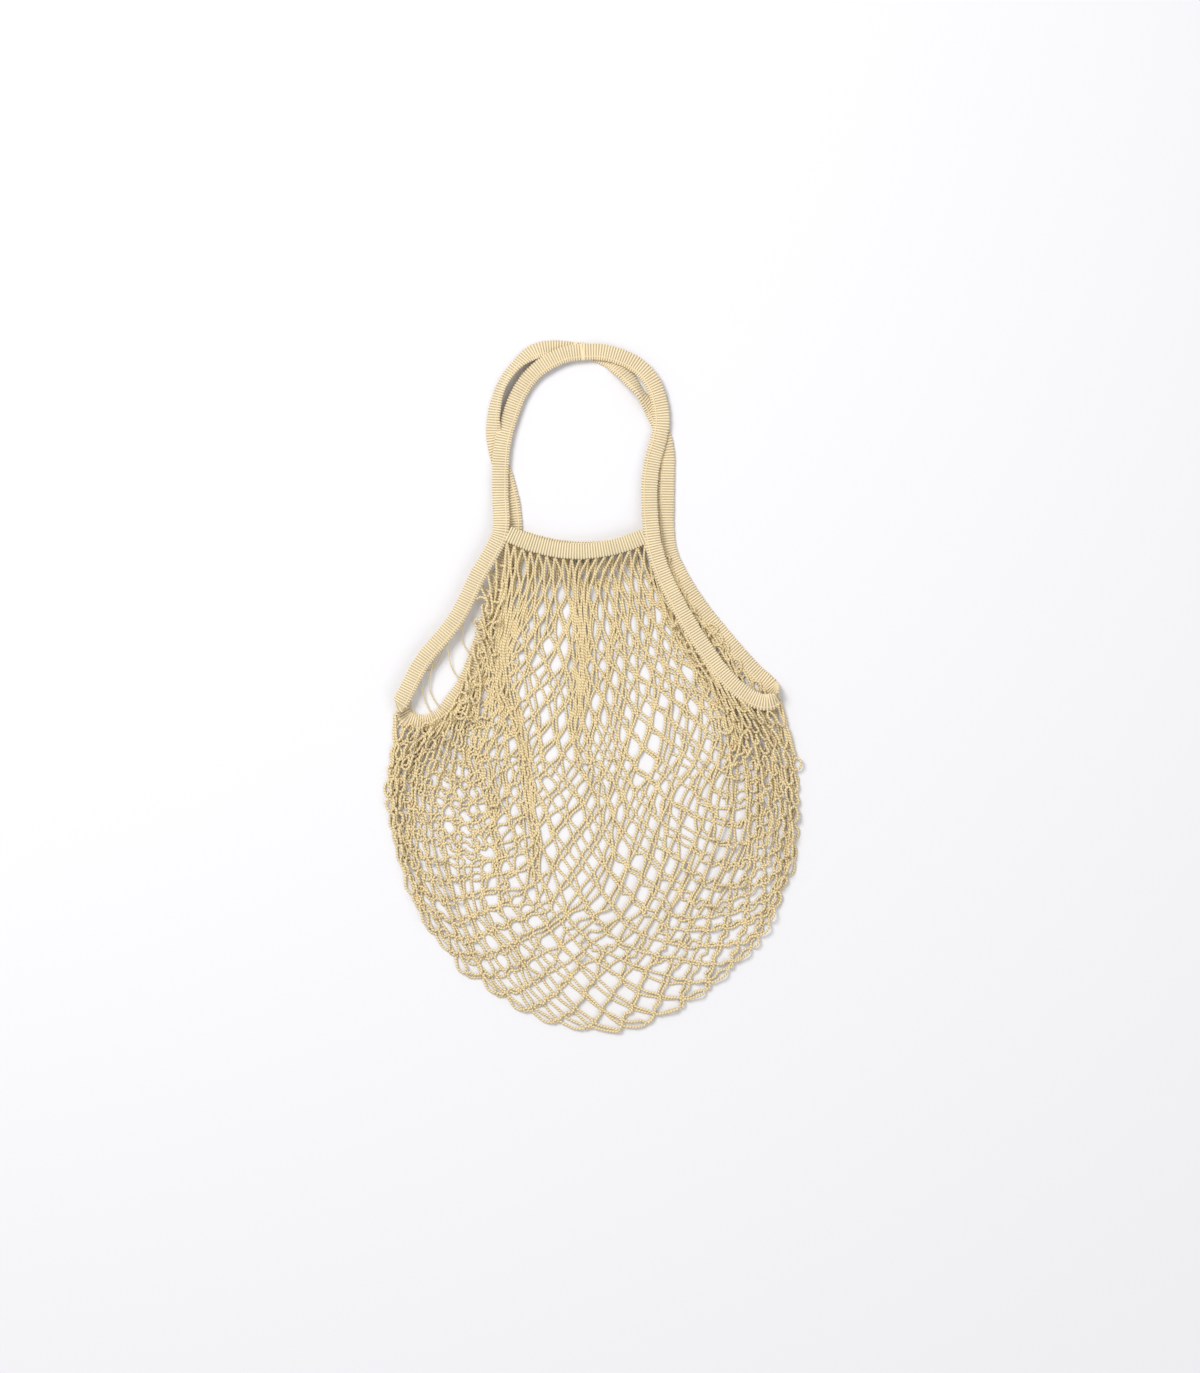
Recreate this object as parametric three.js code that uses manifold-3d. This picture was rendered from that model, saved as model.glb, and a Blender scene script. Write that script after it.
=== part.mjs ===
import * as THREE from "three";
import { mergeVertices } from "three/addons/utils/BufferGeometryUtils.js";
import Module from "manifold-3d";

// A knitted string shopping bag, lying flat on its back with its handles towards +Y.
// Millimetres, +Z up. While it is modelled, x = 0 is the middle of the net, y = 0 is the level
// of the mouth and z = 0 is the surface that the bag lies on. The finished group is moved so
// that its origin is the middle of its footprint.

// Body
const bodyWidth = 360;
const bodyDepth = 434.5;
const loft = 7;
const edgeRadius = 25;

// Handles and shoulders
const handleSpan = 133;
const handleRise = 166;
const handleOffset = -14.6;
const shoulderDrop = 149;
const shoulderInset = { left: 12, right: 17 };

// Knitted tape
const tapeWidth = 15;
const tapeThickness = 3;
const tapeRound = 0.8;
const mouthTapeWidth = 14.5;
const mouthSag = { front: 14, back: 12 };

// Net
const strandWidth = 5;
const strandThickness = 3;
const netColumns = 5;
const netRows = 5;
const seamOverlap = 0.5;
const edgeRoom = 14;

const clearance = 0.3;

// Fineness of the facets
const sectionsPerRow = 3;
const mouthSections = 12;
const mouthSpans = 3;
const strandSteps = 3;
const rimStep = 6;
const outlineSteps = 96;
const relaxRounds = 400;

// Cotton, undyed
const tapeCotton = { color: 0xecd7b2, roughness: 0.95, metalness: 0 };
const mouthCotton = { color: 0xead8b3, roughness: 0.95, metalness: 0 };
const netCotton = { color: 0xe2cfa8, roughness: 0.95, metalness: 0 };

function table(columns, rows) {
  return rows.map((row) => Object.fromEntries(columns.map((name, i) => [name, row[i]])));
}

// Where the tapes run. A handle row is placed by shares of half the handle's span and of its
// rise. A leg row is placed by shares of the way out to the shoulder and of its drop. Level 0
// lies on the surface, 1 lies on another tape, and 2 is the front of the bag. The bearing is
// the way, in degrees from +X, in which the tape's inner edge faces: into the handle's loop or
// towards the net. The tilt lifts that edge, or the other one where it is negative.
const handleColumns = ["across", "up", "level", "bearing", "tilt"];
const legColumns = ["out", "down", "level", "bearing", "tilt"];

const leftTape = {
  frontHandle: table(handleColumns, [
    [0.093, 1.0, 1.1, -90, 0],
    [-0.133, 0.987, 1.1, -90, 0],
    [-0.36, 0.947, 1.1, -75, 0],
    [-0.587, 0.878, 1.0, -50, 0],
    [-0.76, 0.777, 1.0, -30, 0],
    [-0.88, 0.654, 1.05, -15, 0],
    [-0.965, 0.532, 1.1, -8, 0],
    [-1.0, 0.41, 1.1, 0, 0],
    [-1.005, 0.25, 1.3, 0, 0],
    [-1.0, 0.037, 2.0, -5, 0],
  ]),
  frontLeg: table(legColumns, [
    [0.082, 0.065, 2, -30, 0],
    [0.219, 0.202, 2, -33, 0],
    [0.454, 0.473, 2, -33, 0],
    [0.796, 0.726, 2, -36, 0],
    [1.02, 0.97, 2, -70, 0],
  ]),
  corner: table(legColumns, [
    [1.05, 0.988, 1.25, -90, 25],
    [1.02, 1.006, 0, -90, 0],
  ]),
  backLeg: table(legColumns, [
    [0.95, 1.065, 0, -90, 0],
    [0.765, 1.087, 0, -90, 0],
    [0.612, 1.05, 0, -60, 0],
    [0.485, 0.956, 0, -35, 0],
    [0.36, 0.851, 0, -30, 0],
    [0.204, 0.61, 0, -20, 0],
    [0.071, 0.357, 0, -20, 0],
    [-0.01, 0.208, 0, -20, 0],
  ]),
  backHandle: table(handleColumns, [
    [-0.833, 0.016, 0, -8, 0],
    [-0.853, 0.186, 0, 0, 0],
    [-0.933, 0.319, 0, 0, 0],
    [-1.027, 0.436, 0, 0, 0],
    [-1.08, 0.532, 0, 0, 8],
    [-1.093, 0.654, 0, 0, 42],
    [-1.0, 0.809, 0, -25, 55],
    [-0.813, 0.92, 0, -45, 52],
    [-0.533, 1.005, 0, -75, 20],
    [-0.253, 1.02, 0, -90, 0],
    [-0.013, 1.01, 0, -90, 0],
  ]),
};

const rightTape = {
  frontHandle: table(handleColumns, [
    [0.093, 1.0, 1.1, -90, 0],
    [0.32, 1.0, 1.1, -90, 0],
    [0.547, 0.979, 1.1, -105, 0],
    [0.76, 0.941, 1.2, -120, 0],
    [0.933, 0.883, 1.2, -135, 0],
    [1.053, 0.803, 1.1, -155, 0],
    [1.12, 0.706, 1.0, -170, 0],
    [1.133, 0.617, 1.0, -180, 0],
    [1.093, 0.527, 1.0, -180, 0],
    [1.027, 0.436, 1.05, -180, 0],
    [0.975, 0.28, 1.3, -180, 0],
    [1.007, 0.021, 2.0, -175, 0],
  ]),
  frontLeg: table(legColumns, [
    [0.037, 0.0875, 2, -155, 0],
    [0.11, 0.236, 2, -150, 0],
    [0.333, 0.542, 2, -147, 0],
    [0.595, 0.818, 2, -140, 0],
    [0.728, 0.907, 2, -125, 0],
    [0.846, 0.957, 2, -100, 0],
    [0.937, 0.964, 2, -90, 0],
  ]),
  corner: table(legColumns, [
    [1.0, 0.94, 1.25, -90, -30],
  ]),
  backLeg: table(legColumns, [
    [0.952, 0.869, 0, -120, 0],
    [0.833, 0.789, 0, -150, 0],
    [0.57, 0.571, 0, -147, 0],
    [0.317, 0.324, 0, -150, 0],
    [0.149, 0.0875, 0, -165, 0],
  ]),
  backHandle: table(handleColumns, [
    [1.2, 0.037, 0, -180, 0],
    [1.195, 0.207, 0, -180, 0],
    [1.2, 0.33, 0, -180, 0],
    [1.2, 0.468, 0, -180, 0],
    [1.147, 0.564, 0, -170, 0],
    [1.04, 0.67, 0, -150, 15],
    [0.853, 0.777, 0, -130, 58],
    [0.66, 0.875, 0, -130, 30],
    [0.44, 0.96, 0, -115, 0],
    [0.2, 1.0, 0, -100, 0],
    [-0.013, 1.01, 0, -90, 0],
  ]),
};

// The net's outline, down its left side, along the bottom and up its right side, as shares of
// half its width and of its depth.
const outlineColumns = ["across", "down"];
const leftSide = table(outlineColumns, [
  [-0.985, 0.397],
  [-0.993, 0.499],
  [-0.951, 0.625],
  [-0.862, 0.741],
  [-0.789, 0.792],
]);
const bottom = table(outlineColumns, [
  [-0.789, 0.792],
  [-0.582, 0.888],
  [-0.327, 0.965],
  [-0.002, 0.996],
  [0.224, 0.995],
  [0.43, 0.951],
  [0.671, 0.876],
  [0.799, 0.817],
]);
const rightSide = table(outlineColumns, [
  [0.97, 0.383],
  [1.0, 0.46],
  [0.988, 0.589],
  [0.936, 0.717],
  [0.799, 0.817],
]);

// Folds of the front: each runs from one share of the body to another, rises by a share of the
// loft and is as wide as a share of the body's width.
const foldColumns = ["fromAcross", "fromDown", "toAcross", "toDown", "rise", "width"];
const folds = table(foldColumns, [
  [-0.086, 0.051, -0.012, 0.448, 0.7, 0.09],
  [-0.455, 0.326, -0.219, 0.743, 0.85, 0.07],
  [0.848, 0.356, 0.862, 0.733, 1.1, 0.08],
  [-0.921, 0.397, -0.823, 0.692, 0.85, 0.07],
]);

const rimOffset = clearance + strandWidth / 2;
const frontLift = tapeThickness + loft;
const stackLift = tapeThickness + clearance;

const toRadians = THREE.MathUtils.degToRad;
const mix = THREE.MathUtils.lerp;

function ease(share) {
  return THREE.MathUtils.smoothstep(share, 0, 1);
}

function levelLift(level) {
  return level < 1 ? level * stackLift : mix(stackLift, frontLift, level - 1);
}

// A tape's section with bevelled edges: places across its width, then through its thickness.
function ribbonSection(width, thickness, round, spans) {
  const w = width / 2;
  const t = thickness / 2;
  const flat = [];
  for (let i = 0; i <= spans; i += 1) {
    flat.push(mix(w - round, round - w, i / spans));
  }
  return [
    [w, round - t], [w, t - round],
    ...flat.map((place) => [place, t]),
    [-w, t - round], [-w, round - t],
    ...flat.map((place) => [-place, -t]),
  ];
}

// A closed solid through rings of points, all with as many points as the first. Each end is
// closed by strips between the upper and the lower half of its ring.
function loftRings(rings) {
  const points = rings.flat();
  const count = rings[0].length;
  const faces = [];
  for (let ring = 0; ring + 1 < rings.length; ring += 1) {
    for (let i = 0; i < count; i += 1) {
      const a = ring * count + i;
      const b = ring * count + ((i + 1) % count);
      faces.push(a, b, b + count, a, b + count, a + count);
    }
  }
  const last = (rings.length - 1) * count;
  for (let i = 0; i + 1 < count / 2; i += 1) {
    const [a, b, c, d] = [(count - i) % count, i + 1, i + 2, count - i - 1];
    faces.push(a, c, b, a, d, c);
    faces.push(last + a, last + b, last + c, last + a, last + c, last + d);
  }
  return solid(points, faces);
}

function solid(points, faces) {
  const geometry = new THREE.BufferGeometry().setFromPoints(points);
  geometry.setIndex(faces);
  return geometry;
}

// A tape's run: its rows as points, and between rows a smooth line with eased levels and turns.
class Run {
  constructor(side, rows) {
    const half = handleSpan / 2;
    const inset = side < 0 ? shoulderInset.left : shoulderInset.right;
    const reach = bodyWidth / 2 - inset - half - side * handleOffset;
    const onHandle = (row) => [handleOffset + row.across * half, row.up * handleRise];
    const onLeg = (row) => [
      handleOffset + side * (half + row.out * reach),
      -row.down * shoulderDrop,
    ];
    this.rows = Object.values(rows).flat();
    const plan = this.rows.map((row) => ("up" in row ? onHandle(row) : onLeg(row)));
    for (const end of [plan[0], plan[plan.length - 1]]) {
      end[0] += (side * clearance) / 2;
    }
    this.line = new THREE.CatmullRomCurve3(plan.map(([x, y]) => new THREE.Vector3(x, y, 0)));
    this.last = plan.length - 1;
    this.mouth = {
      front: rows.frontHandle.length - 1,
      back: this.last + 1 - rows.backHandle.length,
    };
    this.shoulder = {
      front: this.mouth.front + rows.frontLeg.length,
      back: this.mouth.back - rows.backLeg.length,
    };
  }

  between(at, name) {
    const low = Math.min(Math.floor(at), this.last - 1);
    return mix(this.rows[low][name], this.rows[low + 1][name], ease(at - low));
  }

  inward(at) {
    const bearing = toRadians(this.between(at, "bearing"));
    const tilt = toRadians(this.between(at, "tilt"));
    const flat = Math.cos(tilt);
    return new THREE.Vector3(Math.cos(bearing) * flat, Math.sin(bearing) * flat, Math.sin(tilt));
  }

  centre(at) {
    const point = this.line.getPoint(at / this.last);
    const lean = Math.abs(this.inward(at).z);
    const rest = tapeThickness / 2 + lean * (tapeWidth / 2 - tapeRound);
    point.z = levelLift(this.between(at, "level")) + rest;
    return point;
  }

  // The tape's centre, the way to its inner edge and the way through it, at a row or between.
  frame(at) {
    const step = 0.02;
    const from = this.centre(Math.max(at - step, 0));
    const tangent = this.centre(Math.min(at + step, this.last)).sub(from).normalize();
    if (at === 0 || at === this.last) {
      tangent.set(Math.sign(tangent.x), 0, 0);
    }
    const inward = this.inward(at);
    inward.addScaledVector(tangent, -inward.dot(tangent)).normalize();
    const through = new THREE.Vector3().crossVectors(tangent, inward);
    return { centre: this.centre(at), inward, through };
  }

  innerEdge(at, beyond) {
    const { centre, inward } = this.frame(at);
    return centre.addScaledVector(inward, tapeWidth / 2 + beyond);
  }

  // The place along the run that lies a distance past a row, measured on the inner edge.
  past(row, distance, beyond) {
    const step = 0.02 * Math.sign(distance);
    let at = row;
    let left = Math.abs(distance);
    let here = this.innerEdge(at, beyond);
    while (left > 0) {
      const next = this.innerEdge(at + step, beyond);
      const way = next.distanceTo(here);
      at += step * Math.min(left / way, 1);
      left -= way;
      here = next;
    }
    return at;
  }

  geometry() {
    const section = ribbonSection(tapeWidth, tapeThickness, tapeRound, 1);
    const rings = [];
    for (let i = 0; i <= this.last * sectionsPerRow; i += 1) {
      const { centre, inward, through } = this.frame(i / sectionsPerRow);
      rings.push(section.map(([w, t]) => centre.clone()
        .addScaledVector(inward, w).addScaledVector(through, t)));
    }
    rings.flat().forEach((point) => point.setZ(Math.max(point.z, 0)));
    return loftRings(rings);
  }
}

// Which way along a run the corner lies, from the mouth.
const towardCorner = { front: 1, back: -1 };

const runs = { left: new Run(-1, leftTape), right: new Run(1, rightTape) };

// A point on or below a mouth band's middle line: how far across it lies, how far below,
// measured square to that line, and how far the line is cut short at each end.
function mouthPoint(sheet, across, below, short) {
  const place = (share, down) => {
    const [start, end] = Object.values(runs).map((run) => run.innerEdge(
      run.past(run.mouth[sheet], down * towardCorner[sheet], clearance), clearance,
    ));
    const point = start.lerp(end, share);
    point.y -= mouthSag[sheet] * 4 * share * (1 - share);
    return point;
  };
  const cut = short / (handleSpan - tapeWidth);
  const share = mix(cut, 1 - cut, across);
  if (below === 0) {
    return place(share, 0);
  }
  const nearby = 0.01;
  const along = place(share + nearby, 0).sub(place(share - nearby, 0)).setZ(0).normalize();
  const trial = place(share, below).sub(place(share, 0)).setZ(0);
  const square = Math.abs(along.cross(trial).z);
  return place(share, (below * Math.abs(below)) / square);
}

function mouthBand(sheet) {
  const section = ribbonSection(mouthTapeWidth, tapeThickness, tapeRound, mouthSpans);
  const rings = [];
  for (let i = 0; i <= mouthSections; i += 1) {
    rings.push(section.map(([below, up]) => {
      const point = mouthPoint(sheet, 1 - i / mouthSections, below, 0);
      point.z += up;
      return point;
    }));
  }
  return loftRings(rings);
}

// The outline as smooth lines for the net's middle, half a strand inside the true edge.
function outlineCurve(rows) {
  return new THREE.CatmullRomCurve3(rows.map(({ across, down }) => new THREE.Vector3(
    (across * (bodyWidth - strandWidth)) / 2,
    strandWidth / 2 - down * bodyDepth,
    0,
  )));
}

const outline = {
  left: outlineCurve(leftSide),
  bottom: outlineCurve(bottom),
  right: outlineCurve(rightSide),
};
const sewnEdge = Object.values(outline).flatMap((curve) => curve.getSpacedPoints(outlineSteps));

function distanceToEdge(x, y) {
  return Math.min(...sewnEdge.map((point) => Math.hypot(point.x - x, point.y - y)));
}

function foldHeight(x, y) {
  const place = (across, down) => new THREE.Vector3((across * bodyWidth) / 2, -down * bodyDepth, 0);
  const here = new THREE.Vector3(x, y, 0);
  let height = 0;
  for (const fold of folds) {
    const ridge = new THREE.Line3(
      place(fold.fromAcross, fold.fromDown),
      place(fold.toAcross, fold.toDown),
    );
    const away = ridge.closestPointToPoint(here, true, new THREE.Vector3()).distanceTo(here);
    height += fold.rise * loft * Math.exp(-((away / (fold.width * bodyWidth / 2)) ** 2));
  }
  return height;
}

// The height of a sheet's middle. The back lies on the surface, and the front rises from the
// outline in a quarter round.
function netHeight(sheet, x, y) {
  if (sheet === "back") {
    return strandThickness / 2;
  }
  const low = 1.5 * strandThickness - seamOverlap;
  const high = frontLift + tapeThickness / 2;
  const inside = Math.min(Math.max(distanceToEdge(x, y) - strandWidth / 2, 0) / edgeRadius, 1);
  const round = Math.sqrt(1 - (1 - inside) ** 2);
  return mix(low, high, round) + foldHeight(x, y) * round;
}

// The net's edge under a mouth band.
function mouthRim(sheet, share) {
  return mouthPoint(sheet, share, mouthTapeWidth / 2 + rimOffset, strandWidth / 2).setZ(0);
}

// The net's edge along a side tape, from the mouth to the shoulder, ending on the outline.
function sideRim(sheet, side) {
  const run = runs[side];
  const below = (mouthTapeWidth / 2 + rimOffset) * towardCorner[sheet];
  const first = run.past(run.mouth[sheet], below, rimOffset);
  const steps = Math.ceil(Math.abs(run.shoulder[sheet] - first) * sectionsPerRow);
  const points = [mouthRim(sheet, side === "left" ? 0 : 1)];
  for (let i = 1; i <= steps; i += 1) {
    points.push(run.innerEdge(mix(first, run.shoulder[sheet], i / steps), rimOffset));
  }
  points.push(outline[side].getPoint(0));
  return new THREE.CatmullRomCurve3(points.map(({ x, y }) => new THREE.Vector3(x, y, 0)));
}

// Moves a place off the nearest of some points, where it lies within a room of it.
function keepOff(place, points, room) {
  const nearest = points.reduce((best, point) => (
    place.distanceToSquared(point) < place.distanceToSquared(best) ? point : best
  ));
  if (place.distanceTo(nearest) < room) {
    place.sub(nearest).setLength(room).add(nearest);
  }
}

// How far along a curve it has come down by a share of its whole drop.
function shareAtDrop(curve, share) {
  const [top, low] = [curve.getPoint(0).y, curve.getPoint(1).y];
  const steps = 200;
  const found = curve.getSpacedPoints(steps).findIndex((point) => point.y <= mix(top, low, share));
  return found < 0 ? 1 : found / steps;
}

// A sheet of the net drawn in plan: knots, and strands as lines between two knots.
class NetPlan {
  constructor(sheet) {
    this.sheet = sheet;
    this.knots = [];
    this.strands = [];
  }

  knot(place) {
    this.knots.push({ place, ends: [] });
    return this.knots.length - 1;
  }

  strand(from, to, lineAt, steps) {
    const line = [];
    for (let i = 0; i <= steps; i += 1) {
      line.push(lineAt(i / steps));
    }
    const sections = line.map(() => []);
    this.strands.push({ line, sections });
    this.knots[from].ends.push({ line, section: sections[0], forward: true });
    this.knots[to].ends.push({
      line: [...line].reverse(),
      section: sections[steps],
      forward: false,
    });
  }

  straight(from, to) {
    const start = this.knots[from].place;
    const end = this.knots[to].place;
    this.strand(from, to, (share) => start.clone().lerp(end, share), strandSteps);
  }

  // A closed solid: each strand a flat bar, mitred into its neighbours round every knot.
  solid() {
    const points = [];
    const faces = [];
    const add = (x, y, at) => points.push(new THREE.Vector3(x, y, this.height(at))) - 1;
    const half = strandWidth / 2;
    for (const { place, ends } of this.knots) {
      for (const end of ends) {
        const way = end.line[1].clone().sub(end.line[0]);
        end.angle = Math.atan2(way.y, way.x);
        end.reach = way.length();
      }
      ends.sort((a, b) => a.angle - b.angle);
      const middle = ends.length > 2 ? add(place.x, place.y, place) : null;
      ends.forEach((end, i) => {
        const next = ends[(i + 1) % ends.length];
        const opening = (next.angle - end.angle + 2 * Math.PI) % (2 * Math.PI);
        const longest = 0.9 * Math.min(end.reach, next.reach);
        const far = Math.min(half / Math.sin(opening / 2), longest);
        const bisector = end.angle + opening / 2;
        const x = place.x + far * Math.cos(bisector);
        const y = place.y + far * Math.sin(bisector);
        end.leftCorner = add(x, y, place);
        next.rightCorner = end.leftCorner;
      });
      for (const end of ends) {
        const corners = [end.rightCorner, end.leftCorner];
        end.section.push(...(end.forward ? corners : corners.reverse()));
        if (middle !== null) {
          faces.push(middle, end.rightCorner, end.leftCorner);
        }
      }
    }
    for (const { line, sections } of this.strands) {
      for (let i = 1; i + 1 < line.length; i += 1) {
        const way = line[i + 1].clone().sub(line[i - 1]).setLength(half);
        const { x, y } = line[i];
        sections[i].push(add(x + way.y, y - way.x, line[i]), add(x - way.y, y + way.x, line[i]));
      }
      for (let i = 0; i + 1 < line.length; i += 1) {
        const [right, left] = sections[i];
        const [nextRight, nextLeft] = sections[i + 1];
        faces.push(right, nextRight, nextLeft, right, nextLeft, left);
      }
    }
    return thicken(points, faces, strandThickness);
  }

  height({ x, y }) {
    return netHeight(this.sheet, x, y);
  }
}

// A closed solid from a sheet of faces: the sheet raised, the sheet lowered, and a wall along
// each edge that only one face has.
function thicken(points, faces, thickness) {
  const count = points.length;
  const raise = (by) => points.map(({ x, y, z }) => new THREE.Vector3(x, y, z + by));
  const triangles = [...faces];
  const edges = new Set();
  for (let i = 0; i < faces.length; i += 3) {
    const [a, b, c] = faces.slice(i, i + 3);
    triangles.push(a + count, c + count, b + count);
    [[a, b], [b, c], [c, a]].forEach(([from, to]) => edges.add(from * count + to));
  }
  for (const edge of edges) {
    const from = Math.floor(edge / count);
    const to = edge % count;
    if (!edges.has(to * count + from)) {
      triangles.push(from, from + count, to + count, from, to + count, to);
    }
  }
  return solid([...raise(thickness / 2), ...raise(-thickness / 2)], triangles);
}

// One sheet of diamond meshes. Its knots sit on every other point of a grid of half columns
// and half rows. Those at the edge are placed on the tapes and the outline, and the others
// settle half way between their neighbours, as those of a hanging net do.
function netSheet(sheet) {
  const plan = new NetPlan(sheet);
  const across = 2 * netColumns;
  const down = 2 * netRows;
  const sewnRow = 2 * Math.ceil((netRows * shoulderDrop) / bodyDepth);
  const cornerRow = sewnRow - 1.5;
  const grid = new Map();
  const index = (column, row) => grid.get(`${column},${row}`);
  const put = (column, row, place) => grid.set(`${column},${row}`, plan.knot(place.clone()));
  const sewnShare = (row) => (row - cornerRow) / (down - cornerRow);

  const corners = {};
  for (let column = 0; column <= across; column += 2) {
    put(column, 0, mouthRim(sheet, column / across));
    put(column, down, outline.bottom.getPointAt(column / across));
  }
  const sides = [["left", 0], ["right", across]];
  for (const [side, column] of sides) {
    const rim = sideRim(sheet, side);
    const shares = { [sewnRow]: 1 };
    for (let row = 0; row < sewnRow; row += 2) {
      shares[row] = shareAtDrop(rim, row / sewnRow);
    }
    for (let row = 2; row < sewnRow; row += 2) {
      put(column, row, rim.getPointAt(shares[row]));
    }
    for (let row = sewnRow; row < down; row += 2) {
      put(column, row, outline[side].getPointAt(sewnShare(row)));
    }
    corners[side] = { rim, shares, knot: plan.knot(rim.getPoint(1)) };
  }
  for (let row = 1; row < down; row += 1) {
    for (let column = 2 - (row % 2); column < across; column += 2) {
      const top = mouthRim(sheet, column / across);
      put(column, row, top.lerp(outline.bottom.getPointAt(column / across), row / down));
    }
  }
  const rimPoints = Object.values(corners).flatMap(({ rim }) => rim.getSpacedPoints(outlineSteps));
  for (let round = 0; round < relaxRounds; round += 1) {
    for (let row = 1; row < down; row += 1) {
      for (let column = 2 - (row % 2); column < across; column += 2) {
        const place = plan.knots[index(column, row)].place.set(0, 0, 0);
        for (const [right, lower] of [[-1, -1], [1, -1], [-1, 1], [1, 1]]) {
          place.addScaledVector(plan.knots[index(column + right, row + lower)].place, 0.25);
        }
        keepOff(place, rimPoints, edgeRoom);
      }
    }
  }

  for (let row = 0; row < down; row += 1) {
    for (let column = 0; column < across; column += 1) {
      const lean = (column + row) % 2;
      plan.straight(index(column + lean, row), index(column + 1 - lean, row + 1));
    }
  }
  const follow = (from, to, curve, start, end, steps) => plan.strand(
    from, to, (share) => curve(mix(start, end, share)), steps,
  );
  for (let column = 0; column < across; column += 2) {
    const ends = [column / across, (column + 2) / across];
    const alongMouth = (share) => mouthRim(sheet, share);
    const alongBottom = (share) => outline.bottom.getPointAt(share);
    follow(index(column, 0), index(column + 2, 0), alongMouth, ...ends, strandSteps);
    follow(index(column, down), index(column + 2, down), alongBottom, ...ends, strandSteps);
  }
  for (const [side, column] of sides) {
    const { rim, shares, knot } = corners[side];
    const alongRim = (share) => rim.getPointAt(share);
    const alongSeam = (share) => outline[side].getPointAt(share);
    for (let row = 0; row < sewnRow; row += 2) {
      const to = row + 2 < sewnRow ? index(column, row + 2) : knot;
      const ends = [shares[row], shares[row + 2]];
      const steps = Math.ceil(((ends[1] - ends[0]) * rim.getLength()) / rimStep);
      follow(index(column, row), to, alongRim, ...ends, steps);
    }
    follow(knot, index(column, sewnRow), alongSeam, 0, sewnShare(sewnRow), strandSteps);
    for (let row = sewnRow; row < down; row += 2) {
      const ends = [sewnShare(row), sewnShare(row + 2)];
      follow(index(column, row), index(column, row + 2), alongSeam, ...ends, strandSteps);
    }
  }
  return plan.solid();
}

const wasm = await Module();
wasm.setup();

function joined(...geometries) {
  const solids = geometries.map((geometry) => new wasm.Manifold(new wasm.Mesh({
    numProp: 3,
    vertProperties: new Float32Array(geometry.getAttribute("position").array),
    triVerts: new Uint32Array(geometry.getIndex().array),
  })));
  const { vertProperties, triVerts } = solids.reduce((whole, part) => whole.add(part)).getMesh();
  const geometry = new THREE.BufferGeometry();
  geometry.setAttribute("position", new THREE.BufferAttribute(vertProperties, 3));
  geometry.setIndex(new THREE.BufferAttribute(triVerts, 1));
  return mergeVertices(geometry);
}

function mesh(name, geometry, cotton) {
  const faceted = geometry.toNonIndexed();
  faceted.computeVertexNormals();
  const part = new THREE.Mesh(faceted, new THREE.MeshStandardMaterial(cotton));
  part.name = name;
  return part;
}

const bag = new THREE.Group();
bag.add(
  mesh("strap_left", runs.left.geometry(), tapeCotton),
  mesh("strap_right", runs.right.geometry(), tapeCotton),
  mesh("mouth_band_front", mouthBand("front"), mouthCotton),
  mesh("mouth_band_back", mouthBand("back"), mouthCotton),
  mesh("net_body", joined(netSheet("front"), netSheet("back")), netCotton),
);

const footprint = new THREE.Box3().setFromObject(bag);
const middle = footprint.getCenter(new THREE.Vector3());
for (const part of bag.children) {
  part.position.set(-middle.x, -middle.y, -footprint.min.z);
}

export default bag;
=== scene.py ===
"""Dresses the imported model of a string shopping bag, which lies flat with its handles drawn up.

The straps and the mouth bands are knitted tape. The body is a diamond net of cotton yarn, folded once
along its bottom, gathered by the tape at its sides and by the bands at its mouth. Lengths are in
millimetres until the meshes are made, and places up and down the bag are counted from its mouth.
"""

import bpy
import numpy as np
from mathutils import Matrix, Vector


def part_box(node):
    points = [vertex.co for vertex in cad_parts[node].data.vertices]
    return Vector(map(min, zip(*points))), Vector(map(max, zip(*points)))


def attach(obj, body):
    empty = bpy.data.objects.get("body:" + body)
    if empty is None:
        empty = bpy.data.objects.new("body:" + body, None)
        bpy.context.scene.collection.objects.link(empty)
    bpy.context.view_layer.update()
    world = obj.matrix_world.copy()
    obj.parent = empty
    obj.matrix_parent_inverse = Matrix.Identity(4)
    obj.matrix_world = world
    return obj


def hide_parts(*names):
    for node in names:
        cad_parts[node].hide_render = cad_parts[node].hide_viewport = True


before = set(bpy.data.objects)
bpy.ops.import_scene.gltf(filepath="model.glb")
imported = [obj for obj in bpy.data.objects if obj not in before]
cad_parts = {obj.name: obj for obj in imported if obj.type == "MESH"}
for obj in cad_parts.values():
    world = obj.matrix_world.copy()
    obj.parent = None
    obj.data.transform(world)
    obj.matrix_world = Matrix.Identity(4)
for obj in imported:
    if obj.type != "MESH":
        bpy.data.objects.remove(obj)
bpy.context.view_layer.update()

bl_info = {
    "name": "String shopping bag",
    "version": (1, 0, 0),
    "blender": (4, 5, 0),
    "location": "3D View > Sidebar > Bag",
    "description": "Builds the knitted tape, the net and the studio of a string shopping bag",
    "category": "Object",
}

MM = 0.001
SEED = 7

# Driving sizes of the bag, the same as those of its solids
BODY_WIDTH = 360.0
BODY_DEPTH = 434.5
LOFT = 7.0
HANDLE_SPAN = 133.0
HANDLE_RISE = 166.0
HANDLE_OFFSET = -14.6
SHOULDER_DROP = 149.0
SHOULDER_INSET = {"left": 12.0, "right": 17.0}
MOUTH_SAG = {"front": 14.0, "back": 12.0}
CLEARANCE = 0.3
FLOOR_GAP = 0.05
YARN_IN_TAPE = 0.8
SIDE = {"left": -1, "right": 1}

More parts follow.
